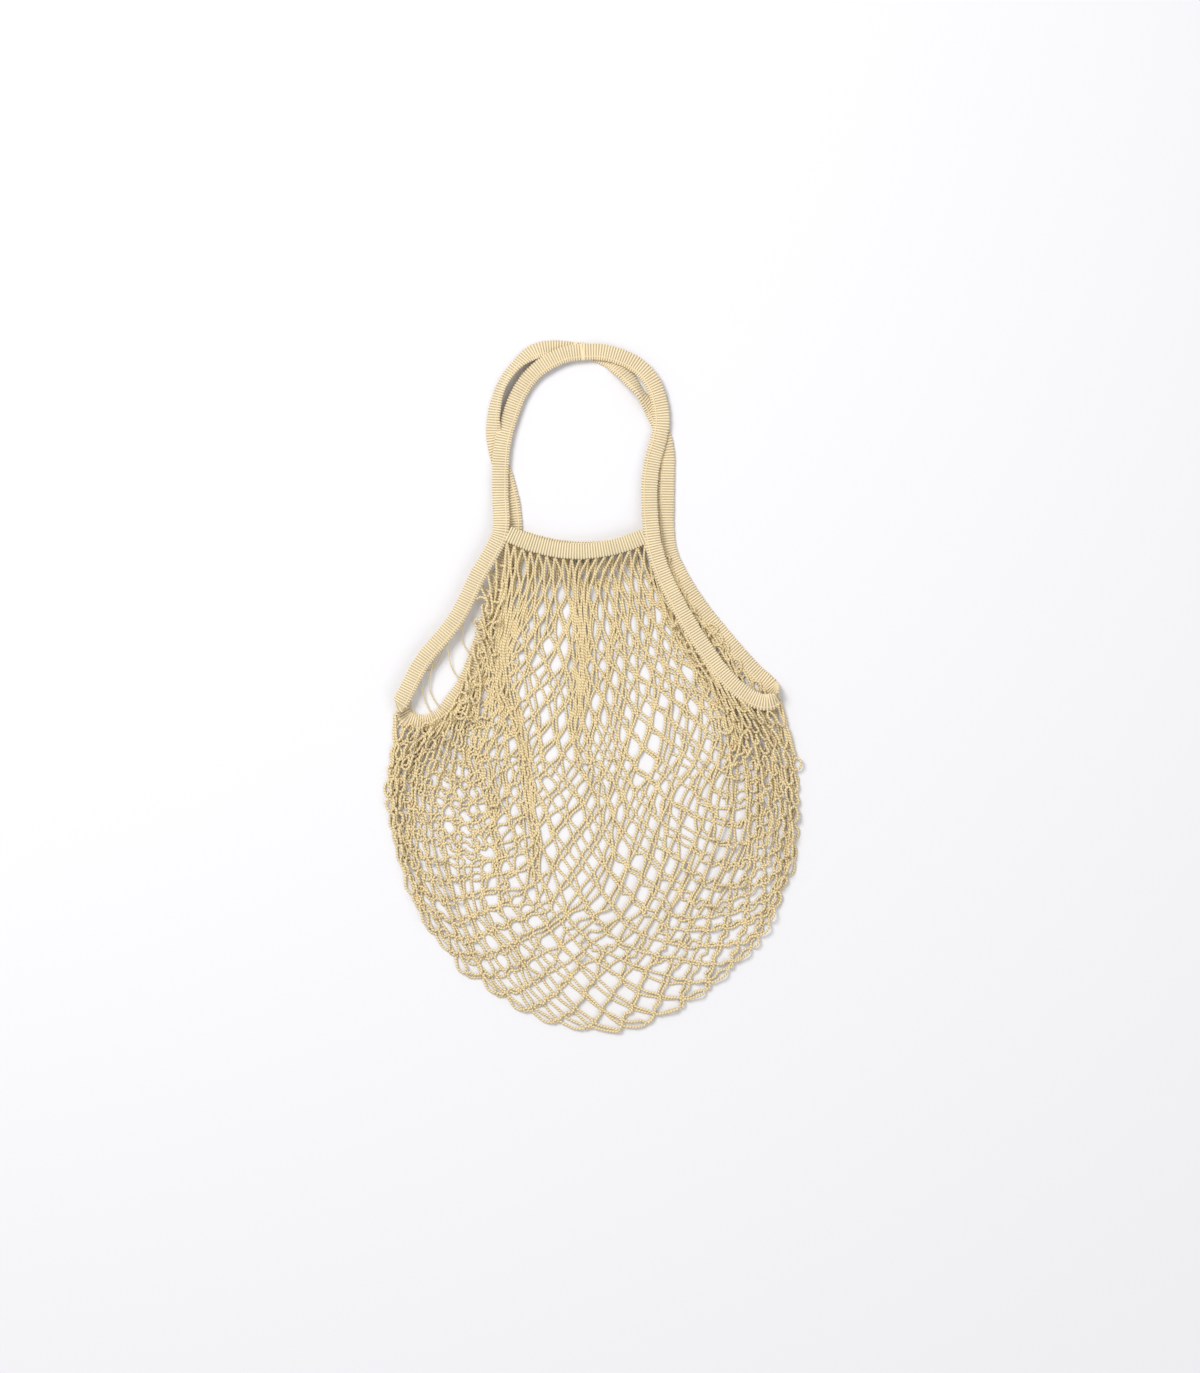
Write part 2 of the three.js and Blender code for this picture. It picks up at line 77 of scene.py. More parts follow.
# Rows of a strap's route. Across and rise are shares of the handle's size, out and drop shares of the
# shoulder's. Level 0 is the lower layer, 1 the next and 2 the front of the bag. Bearing is the way, in
# degrees, in which the inner side faces, and tilt how far that side is raised.
LEFT_ROUTE = {
    "front_handle": [
        (0.093, 1.0, 1.1, -90, 0),
        (-0.133, 0.987, 1.1, -90, 0),
        (-0.36, 0.947, 1.1, -75, 0),
        (-0.587, 0.878, 1.0, -50, 0),
        (-0.76, 0.777, 1.0, -30, 0),
        (-0.88, 0.654, 1.05, -15, 0),
        (-0.965, 0.532, 1.1, -8, 0),
        (-1.0, 0.41, 1.1, 0, 0),
        (-1.005, 0.25, 1.3, 0, 0),
        (-1.0, 0.037, 2.0, -5, 0),
    ],
    "front_leg": [
        (0.082, 0.065, 2, -30, 0),
        (0.219, 0.202, 2, -33, 0),
        (0.454, 0.473, 2, -33, 0),
        (0.796, 0.726, 2, -36, 0),
        (1.02, 0.97, 2, -70, 0),
    ],
    "corner": [
        (1.05, 0.988, 1.25, -90, 25),
        (1.02, 1.006, 0, -90, 0),
    ],
    "back_leg": [
        (0.95, 1.065, 0, -90, 0),
        (0.765, 1.087, 0, -90, 0),
        (0.612, 1.05, 0, -60, 0),
        (0.485, 0.956, 0, -35, 0),
        (0.36, 0.851, 0, -30, 0),
        (0.204, 0.61, 0, -20, 0),
        (0.071, 0.357, 0, -20, 0),
        (-0.01, 0.208, 0, -20, 0),
    ],
    "back_handle": [
        (-0.833, 0.016, 0, -8, 0),
        (-0.853, 0.186, 0, 0, 0),
        (-0.933, 0.319, 0, 0, 0),
        (-1.027, 0.436, 0, 0, 0),
        (-1.08, 0.532, 0, 0, 8),
        (-1.093, 0.654, 0, 0, 42),
        (-1.0, 0.809, 0, -25, 55),
        (-0.813, 0.92, 0, -45, 52),
        (-0.533, 1.005, 0, -75, 20),
        (-0.253, 1.02, 0, -90, 0),
        (-0.013, 1.01, 0, -90, 0),
    ],
}
RIGHT_ROUTE = {
    "front_handle": [
        (0.093, 1.0, 1.1, -90, 0),
        (0.32, 1.0, 1.1, -90, 0),
        (0.547, 0.979, 1.1, -105, 0),
        (0.76, 0.941, 1.2, -120, 0),
        (0.933, 0.883, 1.2, -135, 0),
        (1.053, 0.803, 1.1, -155, 0),
        (1.12, 0.706, 1.0, -170, 0),
        (1.133, 0.617, 1.0, -180, 0),
        (1.093, 0.527, 1.0, -180, 0),
        (1.027, 0.436, 1.05, -180, 0),
        (0.975, 0.28, 1.3, -180, 0),
        (1.007, 0.021, 2.0, -175, 0),
    ],
    "front_leg": [
        (0.037, 0.0875, 2, -155, 0),
        (0.11, 0.236, 2, -150, 0),
        (0.333, 0.542, 2, -147, 0),
        (0.595, 0.818, 2, -140, 0),
        (0.728, 0.907, 2, -125, 0),
        (0.846, 0.957, 2, -100, 0),
    ],
    "corner": [
        (0.937, 0.964, 2, -90, 0),
        (1.0, 0.94, 1.25, -90, -30),
    ],
    "back_leg": [
        (0.952, 0.869, 0, -120, 0),
        (0.833, 0.789, 0, -150, 0),
        (0.57, 0.571, 0, -147, 0),
        (0.317, 0.324, 0, -150, 0),
        (0.149, 0.0875, 0, -165, 0),
    ],
    "back_handle": [
        (1.2, 0.037, 0, -180, 0),
        (1.195, 0.207, 0, -180, 0),
        (1.2, 0.33, 0, -180, 0),
        (1.2, 0.468, 0, -180, 0),
        (1.147, 0.564, 0, -170, 0),
        (1.04, 0.67, 0, -150, 15),
        (0.853, 0.777, 0, -130, 58),
        (0.66, 0.875, 0, -130, 30),
        (0.44, 0.96, 0, -115, 0),
        (0.2, 1.0, 0, -100, 0),
        (-0.013, 1.01, 0, -90, 0),
    ],
}
ROUTES = {"left": LEFT_ROUTE, "right": RIGHT_ROUTE}

# The bag's outline below its two corners, in shares of half the width and of the depth
OUTLINE = [
    (-0.985, 0.397), (-0.993, 0.499), (-0.951, 0.625), (-0.862, 0.741), (-0.789, 0.792),
    (-0.582, 0.888), (-0.327, 0.965), (-0.002, 0.996), (0.224, 0.995), (0.43, 0.951),
    (0.671, 0.876), (0.799, 0.817), (0.936, 0.717), (0.988, 0.589), (1.0, 0.46), (0.97, 0.383),
]

# The photograph, for the places of what only it shows
PHOTO_WIDTH = 1200
PHOTO_HEIGHT = 1373
MM_PER_PIXEL = 0.885
PHOTO_MIDDLE = 592.5
PHOTO_MOUTH = 540.0

# Where the front sheet's left edge hangs free of the strap in the photograph, in pixels
LOOSE_EDGE = ((482, 605), (477, 625), (470, 660), (459, 698), (442, 722), (420, 728), (402, 717))

# The front sheet's gathers in the photograph: their lines in pixels, and their pull and reach in mm
GATHERS = (
    (((492, 660), (512, 740), (530, 820), (546, 915)), 27.0, 22.0),
    (((572, 570), (582, 640), (580, 700), (572, 745)), 17.0, 19.0),
)


class BagSizes(bpy.types.PropertyGroup):
    """Sizes that a user may change before the pieces are made"""

    tape_width: bpy.props.FloatProperty(
        name="Tape width", description="Width of the straps, in mm", default=15.0, min=8.0, max=30.0,
    )
    band_width: bpy.props.FloatProperty(
        name="Band width", description="Width of the bands at the mouth, in mm", default=14.5,
        min=8.0, max=30.0,
    )
    tape_thickness: bpy.props.FloatProperty(
        name="Tape thickness", description="Thickness of the tape, in mm", default=3.0, min=1.5, max=6.0,
    )
    rib_pitch: bpy.props.FloatProperty(
        name="Rib pitch", description="From one rib of the tape to the next, in mm", default=2.3,
        min=1.0, max=5.0,
    )
    yarn: bpy.props.FloatProperty(
        name="Yarn", description="Thickness of the net's knitted yarn, in mm", default=2.15,
        min=1.0, max=5.0,
    )
    strand: bpy.props.FloatProperty(
        name="Strand", description="Length of yarn from knot to knot, in mm", default=17.4,
        min=8.0, max=30.0,
    )


class BagColours(bpy.types.PropertyGroup):
    """Colours of the cotton and of the floor"""

    tape: bpy.props.StringProperty(
        name="Tape", description="Colour of the straps, as sRGB hex", default="ECD9B2",
    )
    band: bpy.props.StringProperty(
        name="Band", description="Colour of the bands at the mouth, as sRGB hex", default="E9D7AF",
    )
    yarn: bpy.props.StringProperty(
        name="Yarn", description="Colour of the net, as sRGB hex", default="EAD4A3",
    )
    floor: bpy.props.StringProperty(
        name="Floor", description="Colour of the floor, as sRGB hex", default="E4E3E5",
    )


def sizes():
    """The sizes in use."""
    return bpy.context.scene.bag_sizes


def linear(text):
    """An sRGB hex colour as linear values, with alpha."""
    parts = [int(text[i:i + 2], 16) / 255 for i in (0, 2, 4)]
    flat = [c / 12.92 if c <= 0.04045 else ((c + 0.055) / 1.055) ** 2.4 for c in parts]
    return (*flat, 1.0)


def shaded(colour, share):
    """A linear colour made darker, or lighter, by a share."""
    return (*[min(c * share, 1.0) for c in colour[:3]], 1.0)


def from_photo(points):
    """Pixels of the photograph as millimetres on the bag."""
    pixels = np.array(points, float)
    return np.column_stack([
        (pixels[:, 0] - PHOTO_MIDDLE) * MM_PER_PIXEL,
        (PHOTO_MOUTH - pixels[:, 1]) * MM_PER_PIXEL,
    ])


def resampled(points, shares):
    """Points at shares of a line's length; a whole number asks for so many even ones."""
    points = np.asarray(points, float)
    if np.isscalar(shares):
        shares = np.linspace(0, 1, shares)
    steps = np.linalg.norm(np.diff(points, axis=0), axis=1)
    length = np.concatenate([[0.0], np.cumsum(steps)])
    wanted = np.asarray(shares) * length[-1]
    return np.column_stack([np.interp(wanted, length, column) for column in points.T])


def smooth_line(points, at):
    """A centripetal Catmull-Rom line through the points, read at places counted in points."""
    points = np.asarray(points, float)
    last = len(points) - 1
    padded = np.vstack([2 * points[0] - points[1], points, 2 * points[-1] - points[-2]])
    at = np.clip(at, 0, last)
    low = np.minimum(at.astype(int), last - 1)
    share = (at - low)[:, None]
    before, start, end, after = (padded[low + i] for i in range(4))

    def gap(a, b):
        return np.maximum(np.linalg.norm(a - b, axis=1), 1e-4)[:, None] ** 0.5

    d0, d1, d2 = gap(before, start), gap(start, end), gap(end, after)
    leaving = ((start - before) / d0 - (end - before) / (d0 + d1) + (end - start) / d1) * d1
    arriving = ((end - start) / d1 - (after - start) / (d1 + d2) + (after - end) / d2) * d1
    cubic = 2 * start - 2 * end + leaving + arriving
    square = -3 * start + 3 * end - 2 * leaving - arriving
    return cubic * share ** 3 + square * share ** 2 + leaving * share + start


def unit(vectors):
    """Vectors of length one, in the same directions."""
    return vectors / np.maximum(np.linalg.norm(vectors, axis=-1, keepdims=True), 1e-9)


class Run:
    """A strap's route: centre, direction, inward side and face at any place counted in rows."""

    def __init__(self, name):
        side = SIDE[name]
        half = HANDLE_SPAN / 2
        reach = BODY_WIDTH / 2 - SHOULDER_INSET[name] - half - side * HANDLE_OFFSET
        rows = []
        self.first = {}
        for part, table in ROUTES[name].items():
            self.first[part] = len(rows)
            for across, up, level, bearing, tilt in table:
                if part.endswith("handle"):
                    x = HANDLE_OFFSET + across * half
                    y = up * HANDLE_RISE
                else:
                    x = HANDLE_OFFSET + side * (half + across * reach)
                    y = -up * SHOULDER_DROP
                rows.append((x, y, level, bearing, tilt))
        self.rows = np.array(rows)
        self.last = len(rows) - 1
        self.mouth = {"front": self.first["front_leg"] - 1, "back": self.first["back_handle"]}
        self.shoulder = {"front": self.first["corner"] + 0.5, "back": self.first["corner"] + 1.0}

    def eased(self, at, column):
        """A column of the route's rows, eased from each row to the next."""
        low = np.minimum(at.astype(int), self.last - 1)
        share = at - low
        share = share * share * (3 - 2 * share)
        return self.rows[low, column] * (1 - share) + self.rows[low + 1, column] * share

    def inward(self, at):
        """The way to the tape's inner side."""
        bearing = np.radians(self.eased(at, 3))
        tilt = np.radians(self.eased(at, 4))
        flat = np.cos(tilt)
        return np.stack([np.cos(bearing) * flat, np.sin(bearing) * flat, np.sin(tilt)], 1)

    def centre(self, at):
        """The middle of the tape, lifted on to its layer."""
        at = np.clip(at, 0, self.last)
        size = sizes()
        level = self.eased(at, 2)
        layer = size.tape_thickness + CLEARANCE
        lift = np.where(level < 1, level * layer, layer + (level - 1) * (LOFT - CLEARANCE))
        # a tilted tape stands on its lower edge, less the edge's own rounding
        rounding = 0.8
        raised = np.abs(self.inward(at)[:, 2]) * (size.tape_width / 2 - rounding)
        plan = smooth_line(self.rows[:, :2], at)
        return np.column_stack([plan, lift + size.tape_thickness / 2 + raised])

    def frames(self, at):
        """Centre, direction, inward side and face at places on the route."""
        at = np.clip(np.atleast_1d(np.asarray(at, float)), 0, self.last)
        small = 0.02
        along = unit(self.centre(at + small) - self.centre(at - small))
        across = self.inward(at)
        across = unit(across - (across * along).sum(1)[:, None] * along)
        return self.centre(at), along, across, np.cross(along, across)

    def even(self, pitch, trim=0.0):
        """Places on the route, in rows, at an even pitch."""
        fine = np.linspace(0, self.last, 4000)
        steps = np.linalg.norm(np.diff(self.centre(fine), axis=0), axis=1)
        length = np.concatenate([[0.0], np.cumsum(steps)])
        count = int((length[-1] - 2 * trim) / pitch)
        wanted = trim + (np.arange(count) + 0.5) * (length[-1] - 2 * trim) / count
        return np.interp(wanted, length, fine)

    def inner_edge(self, at, beyond):
        """The tape's inner edge, or a line a distance beyond it."""
        centre, _, across, _ = self.frames(at)
        return centre + across * (sizes().tape_width / 2 + beyond)


def mouth_line(sheet, below, shares, runs):
    """The mouth band's line between the two straps, a distance below its middle."""
    ends = []
    for name in ("left", "right"):
        run = runs[name]
        edge = run.inner_edge(np.array([run.mouth[sheet]]), 0.0)[0]
        ends.append(edge)
    shares = np.asarray(shares, float)[:, None]
    line = ends[0] * (1 - shares) + ends[1] * shares
    line[:, 1] -= MOUTH_SAG[sheet] * 4 * (shares * (1 - shares))[:, 0]
    slope = unit(np.gradient(line, axis=0))
    square = np.column_stack([slope[:, 1], -slope[:, 0], np.zeros(len(line))])
    return line + square * below


class Net:
    """The net's knots and yarn, laid between its rims and then settled on itself and the floor.

    The net is one rectangle of meshes. Rows run from the front band, past the fold at the bottom, to the
    back band. Columns run from the left strap to the right. A knot is where a row and a column meet
    whose numbers add up to an even one, and each chain of yarn zigzags from band to band.
    """

    COLUMNS = 50
    ROWS = 60
    FOLD = 30
    BAND_MESHES = 17

    # How deep the yarn goes into the bands, and how the knots crowd towards the mouth along a leg
    YARN_IN_BAND = 0.7
    LEG_CROWDING = 0.85

    # Straight parts of a strand, from knot to knot, with a particle at each of their ends
    PARTS = 3

    # Heights at which the knots start
    FRONT_HEIGHT = 6.5
    BACK_HEIGHT = 2.0
    FOLD_HEIGHT = 3.0

    # How far the meshes differ in width, as a power of e, and how far knots lie off their places, in mm
    UNEVENNESS = 0.5
    SCATTER = 1.9

    # Broad shifts: how long their waves are in mm, and how high as a share of that
    DRIFT_WAVES = (140.0, 80.0, 45.0)
    DRIFT_SHARE = 0.065

    # Settling: its steps, the fall in each in mm, the share of speed that is kept, and the shares by
    # which a knot is drawn back to its place in any row and, more, in the rows near the fold
    SETTLING = 160
    FALL = 0.05
    SPEED_KEPT = 0.85
    HOLD = 0.05
    FOLD_HOLD = 0.3

    # Yarn is stiff: the far ends of two parts in a row stay at least so many parts' length apart
    LEAST_SPAN = 1.78

    # Cells of the plan in which the tape's height is kept, in mm
    CELL = 2.0

    def __init__(self, runs):
        self.runs = runs
        self.random = np.random.default_rng(SEED)
        columns = np.arange(self.COLUMNS + 1)
        rows = np.arange(self.ROWS + 1)
        self.is_knot = np.add.outer(columns, rows) % 2 == 0
        self.pins = {}
        for sheet in ("front", "back"):
            self.pins.update(self.rim(sheet))
        self.fold_pins = self.bottom()
        self.knots = np.zeros((self.COLUMNS + 1, self.ROWS + 1, 3))
        self.knots[:, :self.FOLD + 1] = self.patch("front")
        self.knots[:, self.FOLD + 1:] = self.patch("back")[:, :self.FOLD][:, ::-1]
        self.drift()
        self.gather()
        for place, point in self.pins.items():
            self.knots[place] = point

    def rim(self, sheet):
        """Knots that the band and the legs of the straps hold."""
        end_row = 0 if sheet == "front" else self.ROWS
        legs = (self.COLUMNS // 2 - self.BAND_MESHES) // 2
        first = 2 * legs
        last = self.COLUMNS - first
        under = sizes().band_width / 2 - self.YARN_IN_BAND
        line = mouth_line(sheet, under, np.linspace(0.01, 0.99, 60), self.runs)
        places = {}
        for i, point in enumerate(resampled(line, (last - first) // 2 + 1)):
            places[(first + 2 * i, end_row)] = point
        ladder = legs + self.FOLD // 2
        shares = (np.arange(1, ladder + 1) / ladder) ** self.LEG_CROWDING
        for name, step in (("left", -1), ("right", 1)):
            run = self.runs[name]
            past_mouth = 0.3 if sheet == "front" else -0.3
            rows = np.linspace(run.mouth[sheet] + past_mouth, run.shoulder[sheet], 120)
            edge = run.inner_edge(rows, -YARN_IN_TAPE)
            if (sheet, name) == ("front", "left"):
                loose = from_photo(LOOSE_EDGE)
                held = edge[edge[:, 1] > loose[0, 1]]
                height = np.linspace(8.0, 5.0, len(loose))
                loose = np.column_stack([loose, height])
                edge = np.concatenate([held, loose])
            edge = resampled(edge, shares)
            for i, point in enumerate(edge, start=1):
                if i <= legs:
                    column = first - 2 * i if step < 0 else last + 2 * i
                    places[(column, end_row)] = point
                else:
                    row = 2 * (i - legs)
                    column = 0 if step < 0 else self.COLUMNS
                    places[(column, row if sheet == "front" else self.ROWS - row)] = point
        return places

    def outline(self):
        """The bag's outline from corner to corner."""
        points = np.array([(across * BODY_WIDTH / 2, -down * BODY_DEPTH) for across, down in OUTLINE])
        return smooth_line(points, np.linspace(0, len(points) - 1, 300))

    def bottom(self):
        """Knots of the fold, which lie along the outline."""
        points = resampled(self.outline(), self.COLUMNS // 2 + 1)
        return {(2 * i, self.FOLD): np.array([*point, self.FOLD_HEIGHT]) for i, point in enumerate(points)}

    def patch(self, sheet):
        """A sheet's rows and columns, blended between its four rims."""
        held = {**self.pins, **self.fold_pins}
        end_row = 0 if sheet == "front" else self.ROWS
        step = 2 if sheet == "front" else -2
        rows = range(end_row, self.FOLD + step // 2, step)

        def rim(keys):
            points = np.array([held[key] for key in keys])
            whole = np.arange(2 * len(points) - 1) / 2
            return np.column_stack([np.interp(whole, np.arange(len(points)), c) for c in points.T])

        top = rim([(a, end_row) for a in range(0, self.COLUMNS + 1, 2)])
        low = rim([(a, self.FOLD) for a in range(0, self.COLUMNS + 1, 2)])
        left = rim([(0, b) for b in rows])
        right = rim([(self.COLUMNS, b) for b in rows])
        u = np.linspace(0, 1, self.COLUMNS + 1)[:, None]
        v = np.linspace(0, 1, self.FOLD + 1)[None, :]
        u = self.uneven(u, v)
        # rows are even at the top and close up towards the fold, and more so towards the two corners
        open_share = 0.8
        open_pace = 1.087
        late = np.maximum(v - open_share, 0)
        settled = open_pace * v - (open_pace - 1) / (1 - open_share) ** 2 * late ** 2
        corner_crowding = 0.95 * np.abs(2 * u - 1) ** 2.5
        w = 1 - (1 - settled) ** (1 + corner_crowding)
        # the last row is drawn close to the fold
        last_row = 0.35
        w[:, -2] = 1 - last_row * (1 - w[:, -2])

        def read(line, share):
            place = share * (len(line) - 1)
            start = np.minimum(place.astype(int), len(line) - 2)
            part = (place - start)[..., None]
            return line[start] * (1 - part) + line[start + 1] * part

        u3 = u[..., None]
        w3 = w[..., None]
        sides = (1 - u3) * read(left, w) + u3 * read(right, w)
        ends = (1 - w3) * read(top, u) + w3 * read(low, u)
        corners = ((1 - u3) * (1 - w3) * top[0] + u3 * (1 - w3) * top[-1]
                   + (1 - u3) * w3 * low[0] + u3 * w3 * low[-1])
        return ends + sides - corners

    def uneven(self, u, v):
        """Shares of the width at which the columns run: some meshes lie open and others closed."""
        noise = self.random.normal(0, 1, (self.COLUMNS, self.FOLD + 1))
        window = np.hanning(9)
        noise = np.array([np.convolve(column, window, "same") for column in noise])
        like_neighbour = 0.7
        noise += like_neighbour * np.roll(noise, 1, axis=0)
        widths = np.exp(self.UNEVENNESS * noise / noise.std() * np.sin(np.pi * v) ** 0.6)
        shares = np.concatenate([np.zeros((1, self.FOLD + 1)), np.cumsum(widths, axis=0)])
        shares /= shares[-1]
        far = np.abs(2 * u - 1) ** 4
        return shares * (1 - far) + u * far

    def drift(self):
        """Shifts broad parts of both sheets by a few millimetres, as by handling."""
        for rows in (slice(1, self.FOLD), slice(self.FOLD + 1, self.ROWS)):
            part = self.knots[:, rows]
            share = np.linspace(0, np.pi, part.shape[1])
            inside = np.sin(np.linspace(0, np.pi, part.shape[0]))[:, None] * np.sin(share)
            plan = part[..., :2].copy()
            for wave in self.DRIFT_WAVES:
                turn = self.random.uniform(0, 2 * np.pi, 4)
                size = wave * self.DRIFT_SHARE
                bend = np.sin(plan[..., 1] / wave + turn[1])
                x = np.sin(2 * np.pi * plan[..., 0] / wave + turn[0] + bend)
                bend = np.sin(plan[..., 0] / wave + turn[3])
                y = np.sin(2 * np.pi * plan[..., 1] / wave + turn[2] + bend)
                part[..., 0] += size * x * inside
                part[..., 1] += size * y * inside

    def gather(self):
        """Draws knots of the front sheet towards the two long gathers of the photograph."""
        part = self.knots[:, :self.FOLD]
        least_kept = 0.12
        for line, pull, reach in GATHERS:
            points = resampled(from_photo(line), 60)
            distance = np.linalg.norm(part[..., None, :2] - points, axis=-1)
            place = points[distance.argmin(axis=-1)]
            distance = distance.min(axis=-1)
            kept = np.maximum(1 - pull / reach * np.exp(1 - distance / reach), least_kept)
            part[..., :2] = place + (part[..., :2] - place) * kept[..., None]

    def lay(self):
        """Numbers the particles of the yarn and gives them their first places."""
        knots = self.knots
        knots[:, :self.FOLD, 2] = np.maximum(knots[:, :self.FOLD, 2], self.FRONT_HEIGHT)
        knots[:, self.FOLD + 1:, 2] = self.BACK_HEIGHT
        for place, point in self.pins.items():
            knots[place] = point
        number = -np.ones(self.is_knot.shape, int)
        number[self.is_knot] = np.arange(self.is_knot.sum())
        count = self.is_knot.sum()
        k, b = np.meshgrid(np.arange(self.COLUMNS), np.arange(self.ROWS), indexing="ij")
        even = (k + b) % 2 == 0
        start = number[np.where(even, k, k + 1), b]
        end = number[np.where(even, k + 1, k), b + 1]
        inner = count + np.arange(self.COLUMNS * self.ROWS * (self.PARTS - 1))
        inner = inner.reshape(self.COLUMNS, self.ROWS, self.PARTS - 1)
        self.strands = np.concatenate([start[..., None], inner, end[..., None]], 2)
        self.places = np.zeros((count + inner.size, 3))
        self.places[:count] = knots[self.is_knot]
        free = np.ones(len(self.places))
        for place in self.pins:
            free[number[place]] = 0.0
        self.free = free
        loose = free[:count] > 0
        scatter = self.random.normal(0, self.SCATTER, (loose.sum(), 3))
        self.places[:count][loose] += scatter * (1, 1, 0.2)
        fold = [number[place] for place in self.fold_pins if place not in self.pins]
        free[fold] = 0.0
        self.knot_count = count
        span = self.places[end] - self.places[start]
        reach = np.linalg.norm(span, axis=2)
        strand = sizes().strand
        slack = np.sqrt(np.maximum(strand ** 2 - reach ** 2, 0))
        # the share of its slack that a strand keeps is larger further down the bag
        kept = np.clip((-self.places[start][..., 1] + 30) / 200, 0.4, 0.75)
        kept = np.clip(kept + self.random.uniform(-0.3, 0.3, reach.shape), 0.1, 0.95)
        # crowded meshes have drawn their slack on to their neighbours, and the fold is pulled straight
        kept = kept * (0.35 + 0.65 * np.minimum(reach / strand, 1) ** 2)
        kept = kept * (1 - np.exp(-np.abs(b + 0.5 - self.FOLD) / 2))
        self.length = np.where(reach < strand, reach + (strand - reach) * kept, strand)
        sideways = unit(np.stack([-span[..., 1], span[..., 0], 0 * reach], 2))
        bow = np.where(self.random.random(reach.shape) < 0.5, -1, 1) * slack * 0.3 * kept
        for i in range(self.PARTS - 1):
            share = (i + 1) / self.PARTS
            point = self.places[start] + span * share + sideways * bow[..., None]
            self.places[inner[..., i]] = point + self.random.normal(0, 0.3, point.shape)
        self.chains = np.concatenate(
            [self.strands[:, :, :-1].reshape(self.COLUMNS, -1), self.strands[:, -1, -1:]], 1)

    def cells(self, points):
        """The cells of a plan of the bag that points fall in."""
        across = (points[:, 0] + BODY_WIDTH) / self.CELL
        up = (points[:, 1] + 1.5 * BODY_DEPTH) / self.CELL
        return across.astype(int), up.astype(int)

    def tape_tops(self):
        """How high the tape that lies on the floor reaches in each cell, for the yarn to rest on."""
        tops = np.zeros((int(2 * BODY_WIDTH / self.CELL), int(3 * BODY_DEPTH / self.CELL)))
        half = sizes().tape_width / 2
        # the tape lies on the floor from this part of a row past the corner's first
        past_turn = 0.8
        for run in self.runs.values():
            at = np.linspace(run.first["corner"] + past_turn, run.first["back_handle"], 1500)
            centre, _, across, _ = run.frames(at)
            for share in np.linspace(-0.95, 0.8, 15):
                line = centre + across * share * half
                np.maximum.at(tops, self.cells(line), line[:, 2] + sizes().tape_thickness / 2)
        return tops

    def settle(self):
        """Settles the yarn: strands keep their length, and rest on yarn, on tape and on the floor."""
        self.lay()
        yarn = sizes().yarn
        part_length = self.length / self.PARTS
        joins = []
        for i in range(self.PARTS):
            for odd in (0, 1):
                part = self.strands[odd::2]
                rest = part_length[odd::2]
                joins.append((part[..., i].ravel(), part[..., i + 1].ravel(), rest.ravel()))
        bends = []
        along = np.repeat(part_length, self.PARTS, axis=1)
        # a bend spans three particles, so every third one starts a bend that shares none with the next
        for offset in range(3):
            for odd in (0, 1):
                chain = self.chains[odd::2]
                at = np.arange(offset, chain.shape[1] - 2, 3)
                least = self.LEAST_SPAN * along[odd::2][:, at]
                bends.append((chain[:, at].ravel(), chain[:, at + 2].ravel(), least.ravel()))
        starts = self.chains[:, :-1].ravel()
        ends = self.chains[:, 1:].ravel()
        used = np.unique(self.chains)
        self.first = np.concatenate([used, starts])
        self.second = np.concatenate([used, ends])
        near = [np.column_stack([starts, ends])] + [np.column_stack(b[:2]) for b in bends]
        near = np.sort(np.concatenate(near), axis=1)
        self.linked = np.unique(near @ np.array([len(self.places), 1]))
        goal = self.places[:self.knot_count].copy()
        rows = np.broadcast_to(np.arange(self.ROWS + 1), self.is_knot.shape)[self.is_knot]
        rows_held = 1.5
        hold = self.HOLD + self.FOLD_HOLD * np.exp(-np.abs(rows - self.FOLD) / rows_held)
        hold = (hold * self.free[:self.knot_count])[:, None] * (1, 1, 0)
        moving = (self.free > 0)[:, None]
        before = self.places.copy()
        tops = self.tape_tops()
        for step in range(self.SETTLING):
            speed = (self.places - before) * self.SPEED_KEPT
            before = self.places.copy()
            self.places += speed * moving
            self.places[:, 2] -= self.FALL * moving[:, 0]
            self.places[:self.knot_count] += (goal - self.places[:self.knot_count]) * hold
            for _ in range(3):
                for first, second, rest in joins:
                    self.join(first, second, rest, 1.0, False)
            for first, second, rest in bends:
                self.join(first, second, rest, 0.5, True)
            if step % 10 == 0:
                pairs = self.close_pairs(yarn + 1.5)
            self.part(pairs, yarn)
            ground = tops[self.cells(self.places)] * moving[:, 0]
            self.places[:, 2] = np.maximum(self.places[:, 2], ground + yarn / 2 + 0.1)

    def join(self, first, second, rest, stiffness, only_short):
        """Brings pairs of particles to their rest length, or only those that are too near."""
        offset = self.places[second] - self.places[first]
        length = np.linalg.norm(offset, axis=1) + 1e-9
        error = length - rest
        if only_short:
            error = np.minimum(error, 0)
        share = stiffness * error / length / np.maximum(self.free[first] + self.free[second], 1e-9)
        self.places[first] += (self.free[first] * share)[:, None] * offset
        self.places[second] -= (self.free[second] * share)[:, None] * offset

    def samples(self):
        """The particles and the middles between them, where contact is felt."""
        return (self.places[self.first] + self.places[self.second]) / 2

    def is_linked(self, one, other):
        """Whether pairs of particles are next to each other on the yarn, or next but one."""
        key = np.minimum(one, other) * len(self.places) + np.maximum(one, other)
        found = np.minimum(np.searchsorted(self.linked, key), len(self.linked) - 1)
        return self.linked[found] == key

    def close_pairs(self, reach):
        """Pairs of samples that are near each other and don't follow each other on the yarn."""
        points = self.samples()
